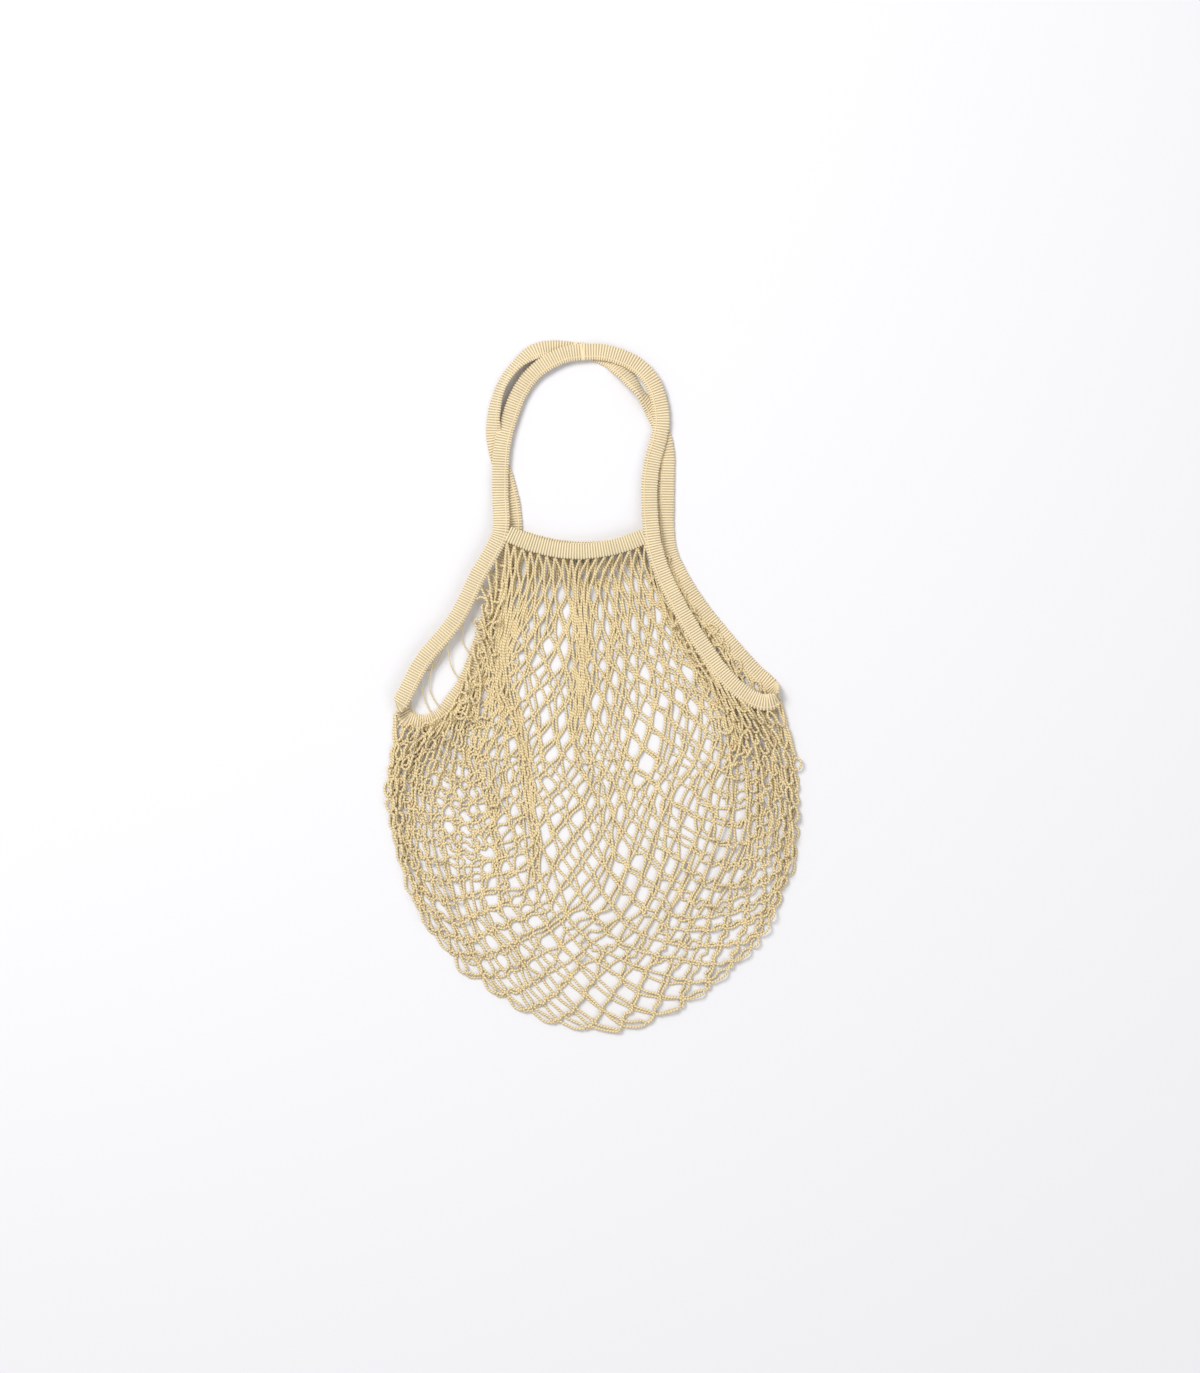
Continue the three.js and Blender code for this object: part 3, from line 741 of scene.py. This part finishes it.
        # more cells than the bag is long, so each cell has a number of its own
        base = 4000
        cell = np.floor(points / reach).astype(np.int64) + base // 4
        key = (cell[:, 0] * base + cell[:, 1]) * base + cell[:, 2]
        order = np.argsort(key, kind="stable")
        rank = np.argsort(order, kind="stable")
        ranked = key[order]
        found = []
        neighbours = [(x, y, z) for x in (-1, 0, 1) for y in (-1, 0, 1) for z in (-1, 0, 1)]
        for x, y, z in neighbours:
            offset = (x * base + y) * base + z
            if offset < 0:
                continue
            low = np.searchsorted(ranked, key + offset, "left")
            high = np.searchsorted(ranked, key + offset, "right")
            if offset == 0:
                low = np.maximum(low, rank + 1)
            count = np.maximum(high - low, 0)
            one = np.repeat(np.arange(len(points)), count)
            begin = np.repeat(low - np.concatenate([[0], np.cumsum(count)[:-1]]), count)
            other = order[begin + np.arange(len(one))]
            close = ((points[one] - points[other]) ** 2).sum(1) < reach * reach
            found.append(np.column_stack([one[close], other[close]]))
        one, other = np.concatenate(found).T
        ends = [(a, b) for a in (self.first[one], self.second[one])
                for b in (self.first[other], self.second[other])]
        keep = np.ones(len(one), bool)
        for a, b in ends:
            keep &= (a != b) & ~self.is_linked(a, b)
        return one[keep], other[keep]

    def part(self, pairs, yarn):
        """Moves apart the yarn that is nearer than its own thickness."""
        one, other = pairs
        points = self.samples()
        offset = points[other] - points[one]
        length = np.linalg.norm(offset, axis=1) + 1e-9
        hit = length < yarn
        one, other = one[hit], other[hit]
        # each sample of a pair moves by a quarter of what is missing, times the haste below
        move = (0.25 * (yarn - length[hit]) / length[hit])[:, None] * offset[hit]
        total = np.zeros_like(self.places)
        count = np.zeros(len(self.places))
        touched = ((self.first[one], -1), (self.second[one], -1),
                   (self.first[other], 1), (self.second[other], 1))
        for numbers, sign in touched:
            count += np.bincount(numbers, minlength=len(count))
            for axis in range(3):
                total[:, axis] += sign * np.bincount(numbers, move[:, axis], len(count))
        haste = 1.6
        share = haste * (self.free > 0) / np.maximum(count, 1)
        self.places += total * share[:, None]

    def yarns(self):
        """The middle line of every chain, with the two chains of a knot side by side."""
        places = self.places[self.chains]
        at_knot = np.arange(0, places.shape[1], self.PARTS)
        towards = np.zeros_like(places[:, at_knot])
        towards[:, 1:] += places[:, at_knot[1:] - 1] - places[:, at_knot[1:]]
        towards[:, :-1] += places[:, at_knot[:-1] + 1] - places[:, at_knot[:-1]]
        beside = 0.42
        places[:, at_knot] += unit(towards) * sizes().yarn * beside
        return places


def laid_runs():
    """Both straps' routes, and the shift from their millimetres to the frame's.

    The box of the left strap's solid decides the shift.
    """
    runs = {name: Run(name) for name in ROUTES}
    run = runs["left"]
    centre, _, across, _ = run.frames(np.linspace(0, run.last, 1200))
    half = sizes().tape_width / 2
    edges = np.concatenate([centre + across * half, centre - across * half])
    low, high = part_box("strap_left")
    shift = (low[0] / MM - edges[:, 0].min(), high[1] / MM - edges[:, 1].max(), 0.0)
    return runs, np.array(shift)


def new_piece(name, points, faces, uvs, shift):
    """A mesh object from points in millimetres, with one UV pair for each corner of each face."""
    points = points + shift
    points[:, 2] = np.maximum(points[:, 2], FLOOR_GAP)
    mesh = bpy.data.meshes.new(name)
    mesh.vertices.add(len(points))
    mesh.vertices.foreach_set("co", (points * MM).astype(np.float32).ravel())
    counts = np.concatenate([np.full(len(part), part.shape[1]) for part in faces])
    starts = np.concatenate([[0], np.cumsum(counts)[:-1]])
    corners = np.concatenate([part.ravel() for part in faces])
    mesh.loops.add(len(corners))
    mesh.loops.foreach_set("vertex_index", corners.astype(np.int32))
    mesh.polygons.add(len(counts))
    mesh.polygons.foreach_set("loop_start", starts.astype(np.int32))
    layer = mesh.uv_layers.new(name="cloth")
    layer.data.foreach_set("uv", uvs.astype(np.float32).ravel())
    mesh.update(calc_edges=True)
    mesh.validate()
    piece = bpy.data.objects.new(name, mesh)
    bpy.context.collection.objects.link(piece)
    bpy.ops.object.select_all(action="DESELECT")
    piece.select_set(True)
    bpy.context.view_layer.objects.active = piece
    bpy.ops.object.shade_smooth()
    return piece


def finished(piece, material, slot, *nodes):
    """Gives a piece its material and sets it in the place of the solids that it dresses."""
    piece.data.materials.append(material)
    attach(piece, "root")
    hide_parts(*nodes)


def ring_model(across, up, along, steps, sides):
    """One closed loop of yarn round a racetrack, modelled once; its copies make ribs and stitches.

    Across and up are half the loop's size outside and along is half the yarn's width.
    """
    bpy.ops.object.select_all(action="DESELECT")
    bpy.ops.mesh.primitive_torus_add(
        major_segments=steps, minor_segments=sides, major_radius=up * 0.55, minor_radius=up * 0.45,
    )
    ring = bpy.context.object
    for sign in (-1, 1):
        bpy.ops.object.mode_set(mode="EDIT")
        bpy.ops.mesh.select_all(action="DESELECT")
        bpy.ops.object.mode_set(mode="OBJECT")
        for vertex in ring.data.vertices:
            vertex.select = vertex.co.x * sign > 1e-6
        bpy.ops.object.mode_set(mode="EDIT")
        bpy.ops.transform.translate(value=(sign * (across - up), 0, 0))
        bpy.ops.object.mode_set(mode="OBJECT")
    bpy.ops.object.mode_set(mode="EDIT")
    bpy.ops.mesh.select_all(action="SELECT")
    bpy.ops.transform.resize(value=(1, 1, along / (up * 0.45)))
    bpy.ops.object.mode_set(mode="OBJECT")
    points = np.array([vertex.co[:] for vertex in ring.data.vertices])
    faces = np.array([polygon.vertices[:] for polygon in ring.data.polygons])
    bpy.data.meshes.remove(ring.data)
    return points, faces


def copies(model, centre, across, up, along, start_uv):
    """Copies of a model at many places; its x, y and z go across, up and along."""
    points, faces = model
    placed = (centre[:, None] + points[None, :, :1] * across[:, None]
              + points[None, :, 1:2] * up[:, None] + points[None, :, 2:3] * along[:, None])
    shift = np.arange(len(centre))[:, None, None] * len(points)
    quads = (faces[None] + shift).reshape(-1, 4)
    uv = np.stack([np.broadcast_to(points[:, 0], (len(centre), len(points))),
                   start_uv[:, None] + points[None, :, 2]], -1).reshape(-1, 2)
    return placed.reshape(-1, 3), quads, uv


def core(centre, across, up, half_width, half_height):
    """The closed ribbon that fills the tape between its ribs."""
    section = [(-1, -0.5), (-0.8, -1), (0.8, -1), (1, -0.5), (1, 0.5), (0.8, 1), (-0.8, 1), (-1, 0.5)]
    section = np.array(section) * (half_width, half_height)
    rings = (centre[:, None] + section[None, :, :1] * across[:, None]
             + section[None, :, 1:] * up[:, None])
    count = len(centre)
    sides = len(section)
    i, j = np.meshgrid(np.arange(count - 1), np.arange(sides), indexing="ij")
    quads = np.stack([i * sides + j, i * sides + (j + 1) % sides,
                      (i + 1) * sides + (j + 1) % sides, (i + 1) * sides + j], -1).reshape(-1, 4)
    ends = []
    for base, order in ((0, -1), ((count - 1) * sides, 1)):
        strip = np.array([[0, 1, 6, 7], [1, 2, 5, 6], [2, 3, 4, 5]])[:, ::order]
        ends.append(strip + base)
    uv = np.stack([np.broadcast_to(section[:, 0], (count, sides)),
                   np.full((count, sides), sizes().rib_pitch / 2)], -1)
    return rings.reshape(-1, 3), np.concatenate([quads, *ends]), uv.reshape(-1, 2)


def joined(parts):
    """Several lists of points, quads and UVs as one."""
    points = []
    quads = []
    uvs = []
    base = 0
    for part_points, part_quads, part_uvs in parts:
        points.append(part_points)
        quads.append(part_quads + base)
        uvs.append(part_uvs)
        base += len(part_points)
    quads = np.concatenate(quads)
    return np.concatenate(points), quads, np.concatenate(uvs)[quads.ravel()]


def knitted_tape(name, frames, width, stitches_at, shift, random):
    """Tape from its frames at one rib each: the core, the ribs and the line of stitches."""
    centre, along, across, face = frames
    size = sizes()
    half = width / 2
    thick = size.tape_thickness / 2
    rib_half_width = size.rib_pitch * 0.44
    rib = ring_model(half, thick, rib_half_width, 20, 6)
    unevenness = 0.02
    swell = 1 + random.normal(0, unevenness, len(centre))[:, None]
    place = np.arange(len(centre)) * size.rib_pitch
    # the core stays this far inside the ribs at the tape's edges and at its faces
    edge_inset = 0.7
    face_inset = 0.55
    parts = [
        core(centre, across, face, half - edge_inset, thick - face_inset),
        copies(rib, centre, across * swell, face * swell, along, place),
    ]
    if stitches_at is not None:
        link = ring_model(size.rib_pitch * 0.62, 0.75, 0.32, 8, 4)
        stitch_depth = 0.12
        for side in (-1, 1):
            base = centre + across * stitches_at + face * side * (thick - stitch_depth)
            parts.append(copies(link, base, along, across, face, place))
    points, quads, uvs = joined(parts)
    return new_piece(name, points, [quads], uvs, shift)


def add_node(tree, kind, settings=None, links=None):
    """A node of a kind, with its settings by socket or property and its links by socket."""
    node = tree.nodes.new(kind)
    for key, value in (settings or {}).items():
        if key in node.inputs:
            node.inputs[key].default_value = value
        else:
            setattr(node, key, value)
    for key, source in (links or {}).items():
        tree.links.new(source, node.inputs[key])
    return node


# Undyed cotton, machine knitted. To the eye it is an uneven warm cream, quite matt, with a faint soft
# glow of its nap at grazing light. Its tint changes over about 18 mm. Its fibres are drawn 0.7 mm apart,
# much coarser than real ones, which are too fine to show in the render.
TINT_SCALE = 55.0
FIBRE_SCALE = 1400.0
FIBRE_RELIEF = 0.15


def cotton(name, colour, pitch, slant, depth):
    """Knitted cotton whose stitches lie a pitch apart along the UV map, at a slant, with relief in mm and
    painted shade in their grooves.
    """
    material = bpy.data.materials.new(name)
    material.use_nodes = True
    tree = material.node_tree
    tree.nodes.clear()
    place = add_node(tree, "ShaderNodeTexCoord")
    patches = add_node(tree, "ShaderNodeTexNoise", {"Scale": TINT_SCALE, "Detail": 3.0},
                       {"Vector": place.outputs["Object"]})
    fibres = add_node(tree, "ShaderNodeTexNoise",
                      {"Scale": FIBRE_SCALE, "Detail": 4.0, "Roughness": 0.7},
                      {"Vector": place.outputs["Object"]})
    base = linear(colour)
    tint = add_node(tree, "ShaderNodeMix", {"data_type": "RGBA"}, {"Factor": patches.outputs["Fac"]})
    # inputs 6 and 7 and output 2 are the colours of a Mix node
    tint.inputs[6].default_value = shaded(base, 0.9)
    tint.inputs[7].default_value = shaded(base, 1.08)
    fleck = add_node(tree, "ShaderNodeMapRange",
                     {"From Min": 0.3, "From Max": 0.7, "To Min": 0.9, "To Max": 1.06},
                     {"Value": fibres.outputs["Fac"]})
    flecked = add_node(tree, "ShaderNodeVectorMath", {"operation": "SCALE"},
                       {"Vector": tint.outputs[2], "Scale": fleck.outputs["Result"]})
    cloth = add_node(tree, "ShaderNodeSeparateXYZ", links={"Vector": place.outputs["UV"]})
    turned = add_node(tree, "ShaderNodeMath", {"operation": "MULTIPLY_ADD"})
    turned.inputs[1].default_value = slant
    tree.links.new(cloth.outputs["X"], turned.inputs[0])
    tree.links.new(cloth.outputs["Y"], turned.inputs[2])
    stitches = add_node(tree, "ShaderNodeMath", {"operation": "PINGPONG"})
    stitches.inputs[1].default_value = pitch / 2
    tree.links.new(turned.outputs["Value"], stitches.inputs[0])
    rise = add_node(tree, "ShaderNodeMapRange",
                    {"interpolation_type": "SMOOTHSTEP", "From Min": pitch / 2, "From Max": pitch * 0.2,
                     "To Min": 0.0, "To Max": 1.0},
                    {"Value": stitches.outputs["Value"]})
    # painted shade: the colour is darkened to 0.68 of itself in the grooves between stitches and twists,
    # and raised to 1.04 elsewhere
    groove_shade = add_node(tree, "ShaderNodeMapRange", {"To Min": 0.68, "To Max": 1.04},
                      {"Value": rise.outputs["Result"]})
    groove_shaded_colour = add_node(tree, "ShaderNodeVectorMath", {"operation": "SCALE"},
                        {"Vector": flecked.outputs["Vector"], "Scale": groove_shade.outputs["Result"]})
    knit = add_node(tree, "ShaderNodeBump", {"Strength": 0.9, "Distance": depth * MM},
                    {"Height": rise.outputs["Result"]})
    fuzz = add_node(tree, "ShaderNodeBump", {"Strength": 0.6, "Distance": FIBRE_RELIEF * MM},
                    {"Height": fibres.outputs["Fac"], "Normal": knit.outputs["Normal"]})
    shader = add_node(tree, "ShaderNodeBsdfPrincipled",
                      {"Roughness": 0.92, "Sheen Weight": 0.25, "Sheen Roughness": 0.6,
                       "Specular IOR Level": 0.25},
                      {"Base Color": groove_shaded_colour.outputs["Vector"], "Normal": fuzz.outputs["Normal"]})
    add_node(tree, "ShaderNodeOutputMaterial", links={"Surface": shader.outputs["BSDF"]})
    return material


def tube(lines, radius, sides, beads):
    """Closed tubes round lines of equally many points, which swell by a share at every other ring."""
    count = lines.shape[1]
    along = unit(np.gradient(lines, axis=1))
    level = unit(np.cross(np.array([0.0, 0.0, 1.0]), along) + np.array([1e-5, 0, 0]))
    up = np.cross(along, level)
    turn = np.linspace(0, 2 * np.pi, sides, endpoint=False)
    swell = radius * (1 + beads * np.where(np.arange(count) % 2 == 0, 1, -1))
    rings = lines[:, :, None] + swell[None, :, None, None] * (
        np.cos(turn)[:, None] * level[:, :, None] + np.sin(turn)[:, None] * up[:, :, None])
    chain, ring, side = np.meshgrid(np.arange(len(lines)), np.arange(count - 1), np.arange(sides),
                                    indexing="ij")
    base = (chain * count + ring) * sides
    quads = np.stack([base + side, base + (side + 1) % sides,
                      base + sides + (side + 1) % sides, base + sides + side], -1).reshape(-1, 4)
    ends = []
    for at, order in ((0, -1), (count - 1, 1)):
        first = (np.arange(len(lines)) * count + at) * sides
        ends.append((first[:, None] + np.arange(sides))[:, ::order])
    length = np.concatenate([np.zeros((len(lines), 1)),
                             np.cumsum(np.linalg.norm(np.diff(lines, axis=1), axis=2), axis=1)], 1)
    uv = np.stack([np.broadcast_to(turn / (2 * np.pi), rings.shape[:3]),
                   np.broadcast_to(length[:, :, None], rings.shape[:3])], -1).reshape(-1, 2)
    caps = np.concatenate(ends)
    corner_uvs = np.concatenate([uv[quads.ravel()], uv[caps.ravel()]])
    return rings.reshape(-1, 3), [quads, caps], corner_uvs


class BAG_OT_tape(bpy.types.Operator):
    """Makes the knitted straps and the bands at the mouth"""

    bl_idname = "bag.tape"
    bl_label = "Make tape"

    # How far in from a strap's edge its line of stitches runs, and how deep the grooves between ribs are
    STITCHES_IN = 3.2
    GROOVE = 0.35

    def execute(self, context):
        random = np.random.default_rng(SEED)
        runs, shift = laid_runs()
        size = sizes()
        colours = context.scene.bag_colours
        pitch = size.rib_pitch
        strap_cotton = cotton("natural_cotton_strap_tape", colours.tape, pitch, 0.0, self.GROOVE)
        band_cotton = cotton("natural_cotton_mouth_tape", colours.band, pitch, 0.0, self.GROOVE)
        for name, run in runs.items():
            places = run.even(pitch, trim=0.3)
            stitches_at = size.tape_width / 2 - self.STITCHES_IN
            piece = knitted_tape(f"knit_strap_{name}", run.frames(places), size.tape_width,
                                 stitches_at, shift, random)
            finished(piece, strap_cotton, "strap_tape", f"strap_{name}")
        for sheet in MOUTH_SAG:
            line = mouth_line(sheet, 0.0, np.linspace(0, 1, 200), runs)
            length = np.linalg.norm(np.diff(line, axis=0), axis=1).sum()
            centre = resampled(line, int(length / pitch))
            along = unit(np.gradient(centre, axis=0))
            up = np.broadcast_to(np.array([0.0, 0.0, 1.0]), centre.shape)
            across = unit(np.cross(up, along))
            frames = (centre, along, across, np.cross(along, across))
            piece = knitted_tape(f"knit_mouth_{sheet}", frames, size.band_width, None, shift, random)
            finished(piece, band_cotton, "mouth_tape", f"mouth_band_{sheet}")
        return {"FINISHED"}


class BAG_OT_net(bpy.types.Operator):
    """Makes the net of yarn between the straps and the bands"""

    bl_idname = "bag.net"
    bl_label = "Make net"

    POINTS_PER_PART = 4
    SIDES = 6
    BEADS = 0.1

    # The twist of the yarn, coarser than a real one so that it shows, and its relief
    TWIST = 2.6
    TWIST_RELIEF = 0.4

    # Columns of the net in each piece
    GROUPS = (("left", 0, 17), ("middle", 17, 33), ("right", 33, 50))

    def execute(self, context):
        runs, shift = laid_runs()
        net = Net(runs)
        net.settle()
        places = net.yarns()
        fine = np.arange((places.shape[1] - 1) * self.POINTS_PER_PART + 1) / self.POINTS_PER_PART
        lines = np.array([smooth_line(chain, fine) for chain in places])
        colour = context.scene.bag_colours.yarn
        material = cotton("natural_cotton_yarn", colour, self.TWIST, self.TWIST, self.TWIST_RELIEF)
        for name, start, end in self.GROUPS:
            points, faces, uvs = tube(lines[start:end], sizes().yarn / 2, self.SIDES, self.BEADS)
            piece = new_piece(f"net_{name}", points, faces, uvs, shift)
            finished(piece, material, "net_yarn", "net_body")
        return {"FINISHED"}


class BAG_OT_ties(bpy.types.Operator):
    """Makes the thin yarns that tie the net's loose edge to the left strap, and the handles' seam"""

    bl_idname = "bag.ties"
    bl_label = "Make ties and seam"

    # The ties' lines in the photograph, in pixels, each from the strap to the net's loose edge
    TIES = (
        ((464, 622), (462, 640), (470, 655)),
        ((447, 640), (452, 668), (463, 684)),
        ((436, 652), (430, 690), (446, 716)),
        ((420, 672), (425, 700), (436, 722)),
        ((447, 640), (434, 668), (420, 672)),
        ((409, 690), (414, 712), (428, 727)),
    )
    YARN = 1.1
    TWIST = 1.4
    TWIST_RELIEF = 0.2
    POINTS = 15
    SAG = 5.0
    NET_HEIGHT = 5.0

    # The seam round each end of a tape: how far it stands out, half its width, and its place in rows
    HEM_OUT = 0.15
    HEM_UP = 0.45
    HEM_HALF_WIDTH = 0.75
    HEM_FROM_END = 0.035

    def execute(self, context):
        runs, shift = laid_runs()
        size = sizes()
        colours = context.scene.bag_colours
        material = cotton("natural_cotton_tie_yarn", colours.yarn, self.TWIST, self.TWIST,
                          self.TWIST_RELIEF)
        leg = runs["left"]
        edge = leg.inner_edge(np.linspace(leg.mouth["front"], leg.shoulder["front"], 200), -1.0)
        lines = []
        for pixels in self.TIES:
            plan = smooth_line(from_photo(pixels), np.linspace(0, len(pixels) - 1, self.POINTS))
            near = np.abs(edge[:, 1] - plan[0, 1]).argmin()
            plan[0] = edge[near, :2]
            sag = self.SAG * np.sin(np.linspace(0, np.pi, self.POINTS))
            height = np.linspace(edge[near, 2], self.NET_HEIGHT, self.POINTS) - sag
            lines.append(np.column_stack([plan, np.maximum(height, self.YARN)]))
        points, faces, uvs = tube(np.array(lines), self.YARN / 2, 6, 0.05)
        finished(new_piece("net_ties", points, faces, uvs, shift), material, "net_yarn", "net_body")
        tape = cotton("natural_cotton_seam", colours.tape, size.rib_pitch, 0.0, BAG_OT_tape.GROOVE)
        parts = []
        hem = ring_model(size.tape_width / 2 + self.HEM_OUT, size.tape_thickness / 2 + self.HEM_UP,
                         self.HEM_HALF_WIDTH, 20, 8)
        for run in runs.values():
            for end in (self.HEM_FROM_END, run.last - self.HEM_FROM_END):
                centre, along, across, face = run.frames([end])
                parts.append(copies(hem, centre, across, face, along, np.zeros(1)))
        points, quads, uvs = joined(parts)
        finished(new_piece("handle_seam", points, [quads], uvs, shift), tape, "strap_tape",
                 "strap_left", "strap_right")
        return {"FINISHED"}


class BAG_OT_studio(bpy.types.Operator):
    """Makes the floor, the lights and the camera above it"""

    bl_idname = "bag.studio"
    bl_label = "Make studio"

    CAMERA_HEIGHT = 3.0
    SENSOR = 24.0
    FLOOR_SIZE = 12.0
    FLOOR_LEVEL = -0.0005
    SKY = (0.97, 0.98, 1.0, 1.0)
    SKY_STRENGTH = 0.58

    # Soft boxes: a name, a place and a width in m, and a power in W
    LAMPS = (
        ("key", (-1.3, 1.4, 2.6), 1.3, 76.0),
        ("fill", (1.6, -1.2, 2.8), 2.2, 22.0),
    )

    def execute(self, context):
        floor_colour = linear(context.scene.bag_colours.floor)
        bpy.ops.object.select_all(action="DESELECT")
        bpy.ops.mesh.primitive_plane_add(size=self.FLOOR_SIZE, location=(0, 0, self.FLOOR_LEVEL))
        floor = context.object
        floor.name = "floor"
        # Matt paint: an even pale grey, with no gloss and so no reflection of the lights
        paint = bpy.data.materials.new("matt_white_floor")
        paint.use_nodes = True
        shader = paint.node_tree.nodes["Principled BSDF"]
        shader.inputs["Base Color"].default_value = floor_colour
        shader.inputs["Roughness"].default_value = 1.0
        shader.inputs["Specular IOR Level"].default_value = 0.0
        floor.data.materials.append(paint)
        world = bpy.data.worlds.new("studio")
        world.use_nodes = True
        background = world.node_tree.nodes["Background"]
        background.inputs["Color"].default_value = self.SKY
        background.inputs["Strength"].default_value = self.SKY_STRENGTH
        context.scene.world = world
        for name, place, width, power in self.LAMPS:
            bpy.ops.object.light_add(type="AREA", location=place)
            lamp = context.object
            lamp.name = name
            lamp.data.size = width
            lamp.data.energy = power
            direction = -lamp.location
            lamp.rotation_euler = direction.to_track_quat("-Z", "Y").to_euler()
        frame_height = PHOTO_HEIGHT * MM_PER_PIXEL * MM
        runs, shift = laid_runs()
        middle = from_photo([(PHOTO_WIDTH / 2, PHOTO_HEIGHT / 2)])[0]
        bpy.ops.object.camera_add(
            location=((middle[0] + shift[0]) * MM, (middle[1] + shift[1]) * MM, self.CAMERA_HEIGHT),
            rotation=(0, 0, 0),
        )
        camera = context.object
        camera.data.sensor_fit = "VERTICAL"
        camera.data.sensor_height = self.SENSOR
        camera.data.lens = self.SENSOR * self.CAMERA_HEIGHT / frame_height
        context.scene.camera = camera
        context.scene.view_settings.view_transform = "Standard"
        return {"FINISHED"}


class BAG_PT_panel(bpy.types.Panel):
    """The bag's sizes and colours, and a button for each kind of piece"""

    bl_label = "String shopping bag"
    bl_idname = "BAG_PT_panel"
    bl_space_type = "VIEW_3D"
    bl_region_type = "UI"
    bl_category = "Bag"

    def draw(self, context):
        for group in (context.scene.bag_sizes, context.scene.bag_colours):
            for name in group.__annotations__:
                self.layout.prop(group, name)
        for operator in OPERATORS:
            self.layout.operator(operator.bl_idname)


OPERATORS = (BAG_OT_tape, BAG_OT_net, BAG_OT_ties, BAG_OT_studio)
CLASSES = (BagSizes, BagColours, *OPERATORS, BAG_PT_panel)


def register():
    for kind in CLASSES:
        bpy.utils.register_class(kind)
    bpy.types.Scene.bag_sizes = bpy.props.PointerProperty(type=BagSizes)
    bpy.types.Scene.bag_colours = bpy.props.PointerProperty(type=BagColours)


def unregister():
    del bpy.types.Scene.bag_colours
    del bpy.types.Scene.bag_sizes
    for kind in reversed(CLASSES):
        bpy.utils.unregister_class(kind)


def main():
    register()
    bpy.ops.bag.tape()
    bpy.ops.bag.net()
    bpy.ops.bag.ties()
    bpy.ops.bag.studio()


if __name__ == "__main__":
    main()
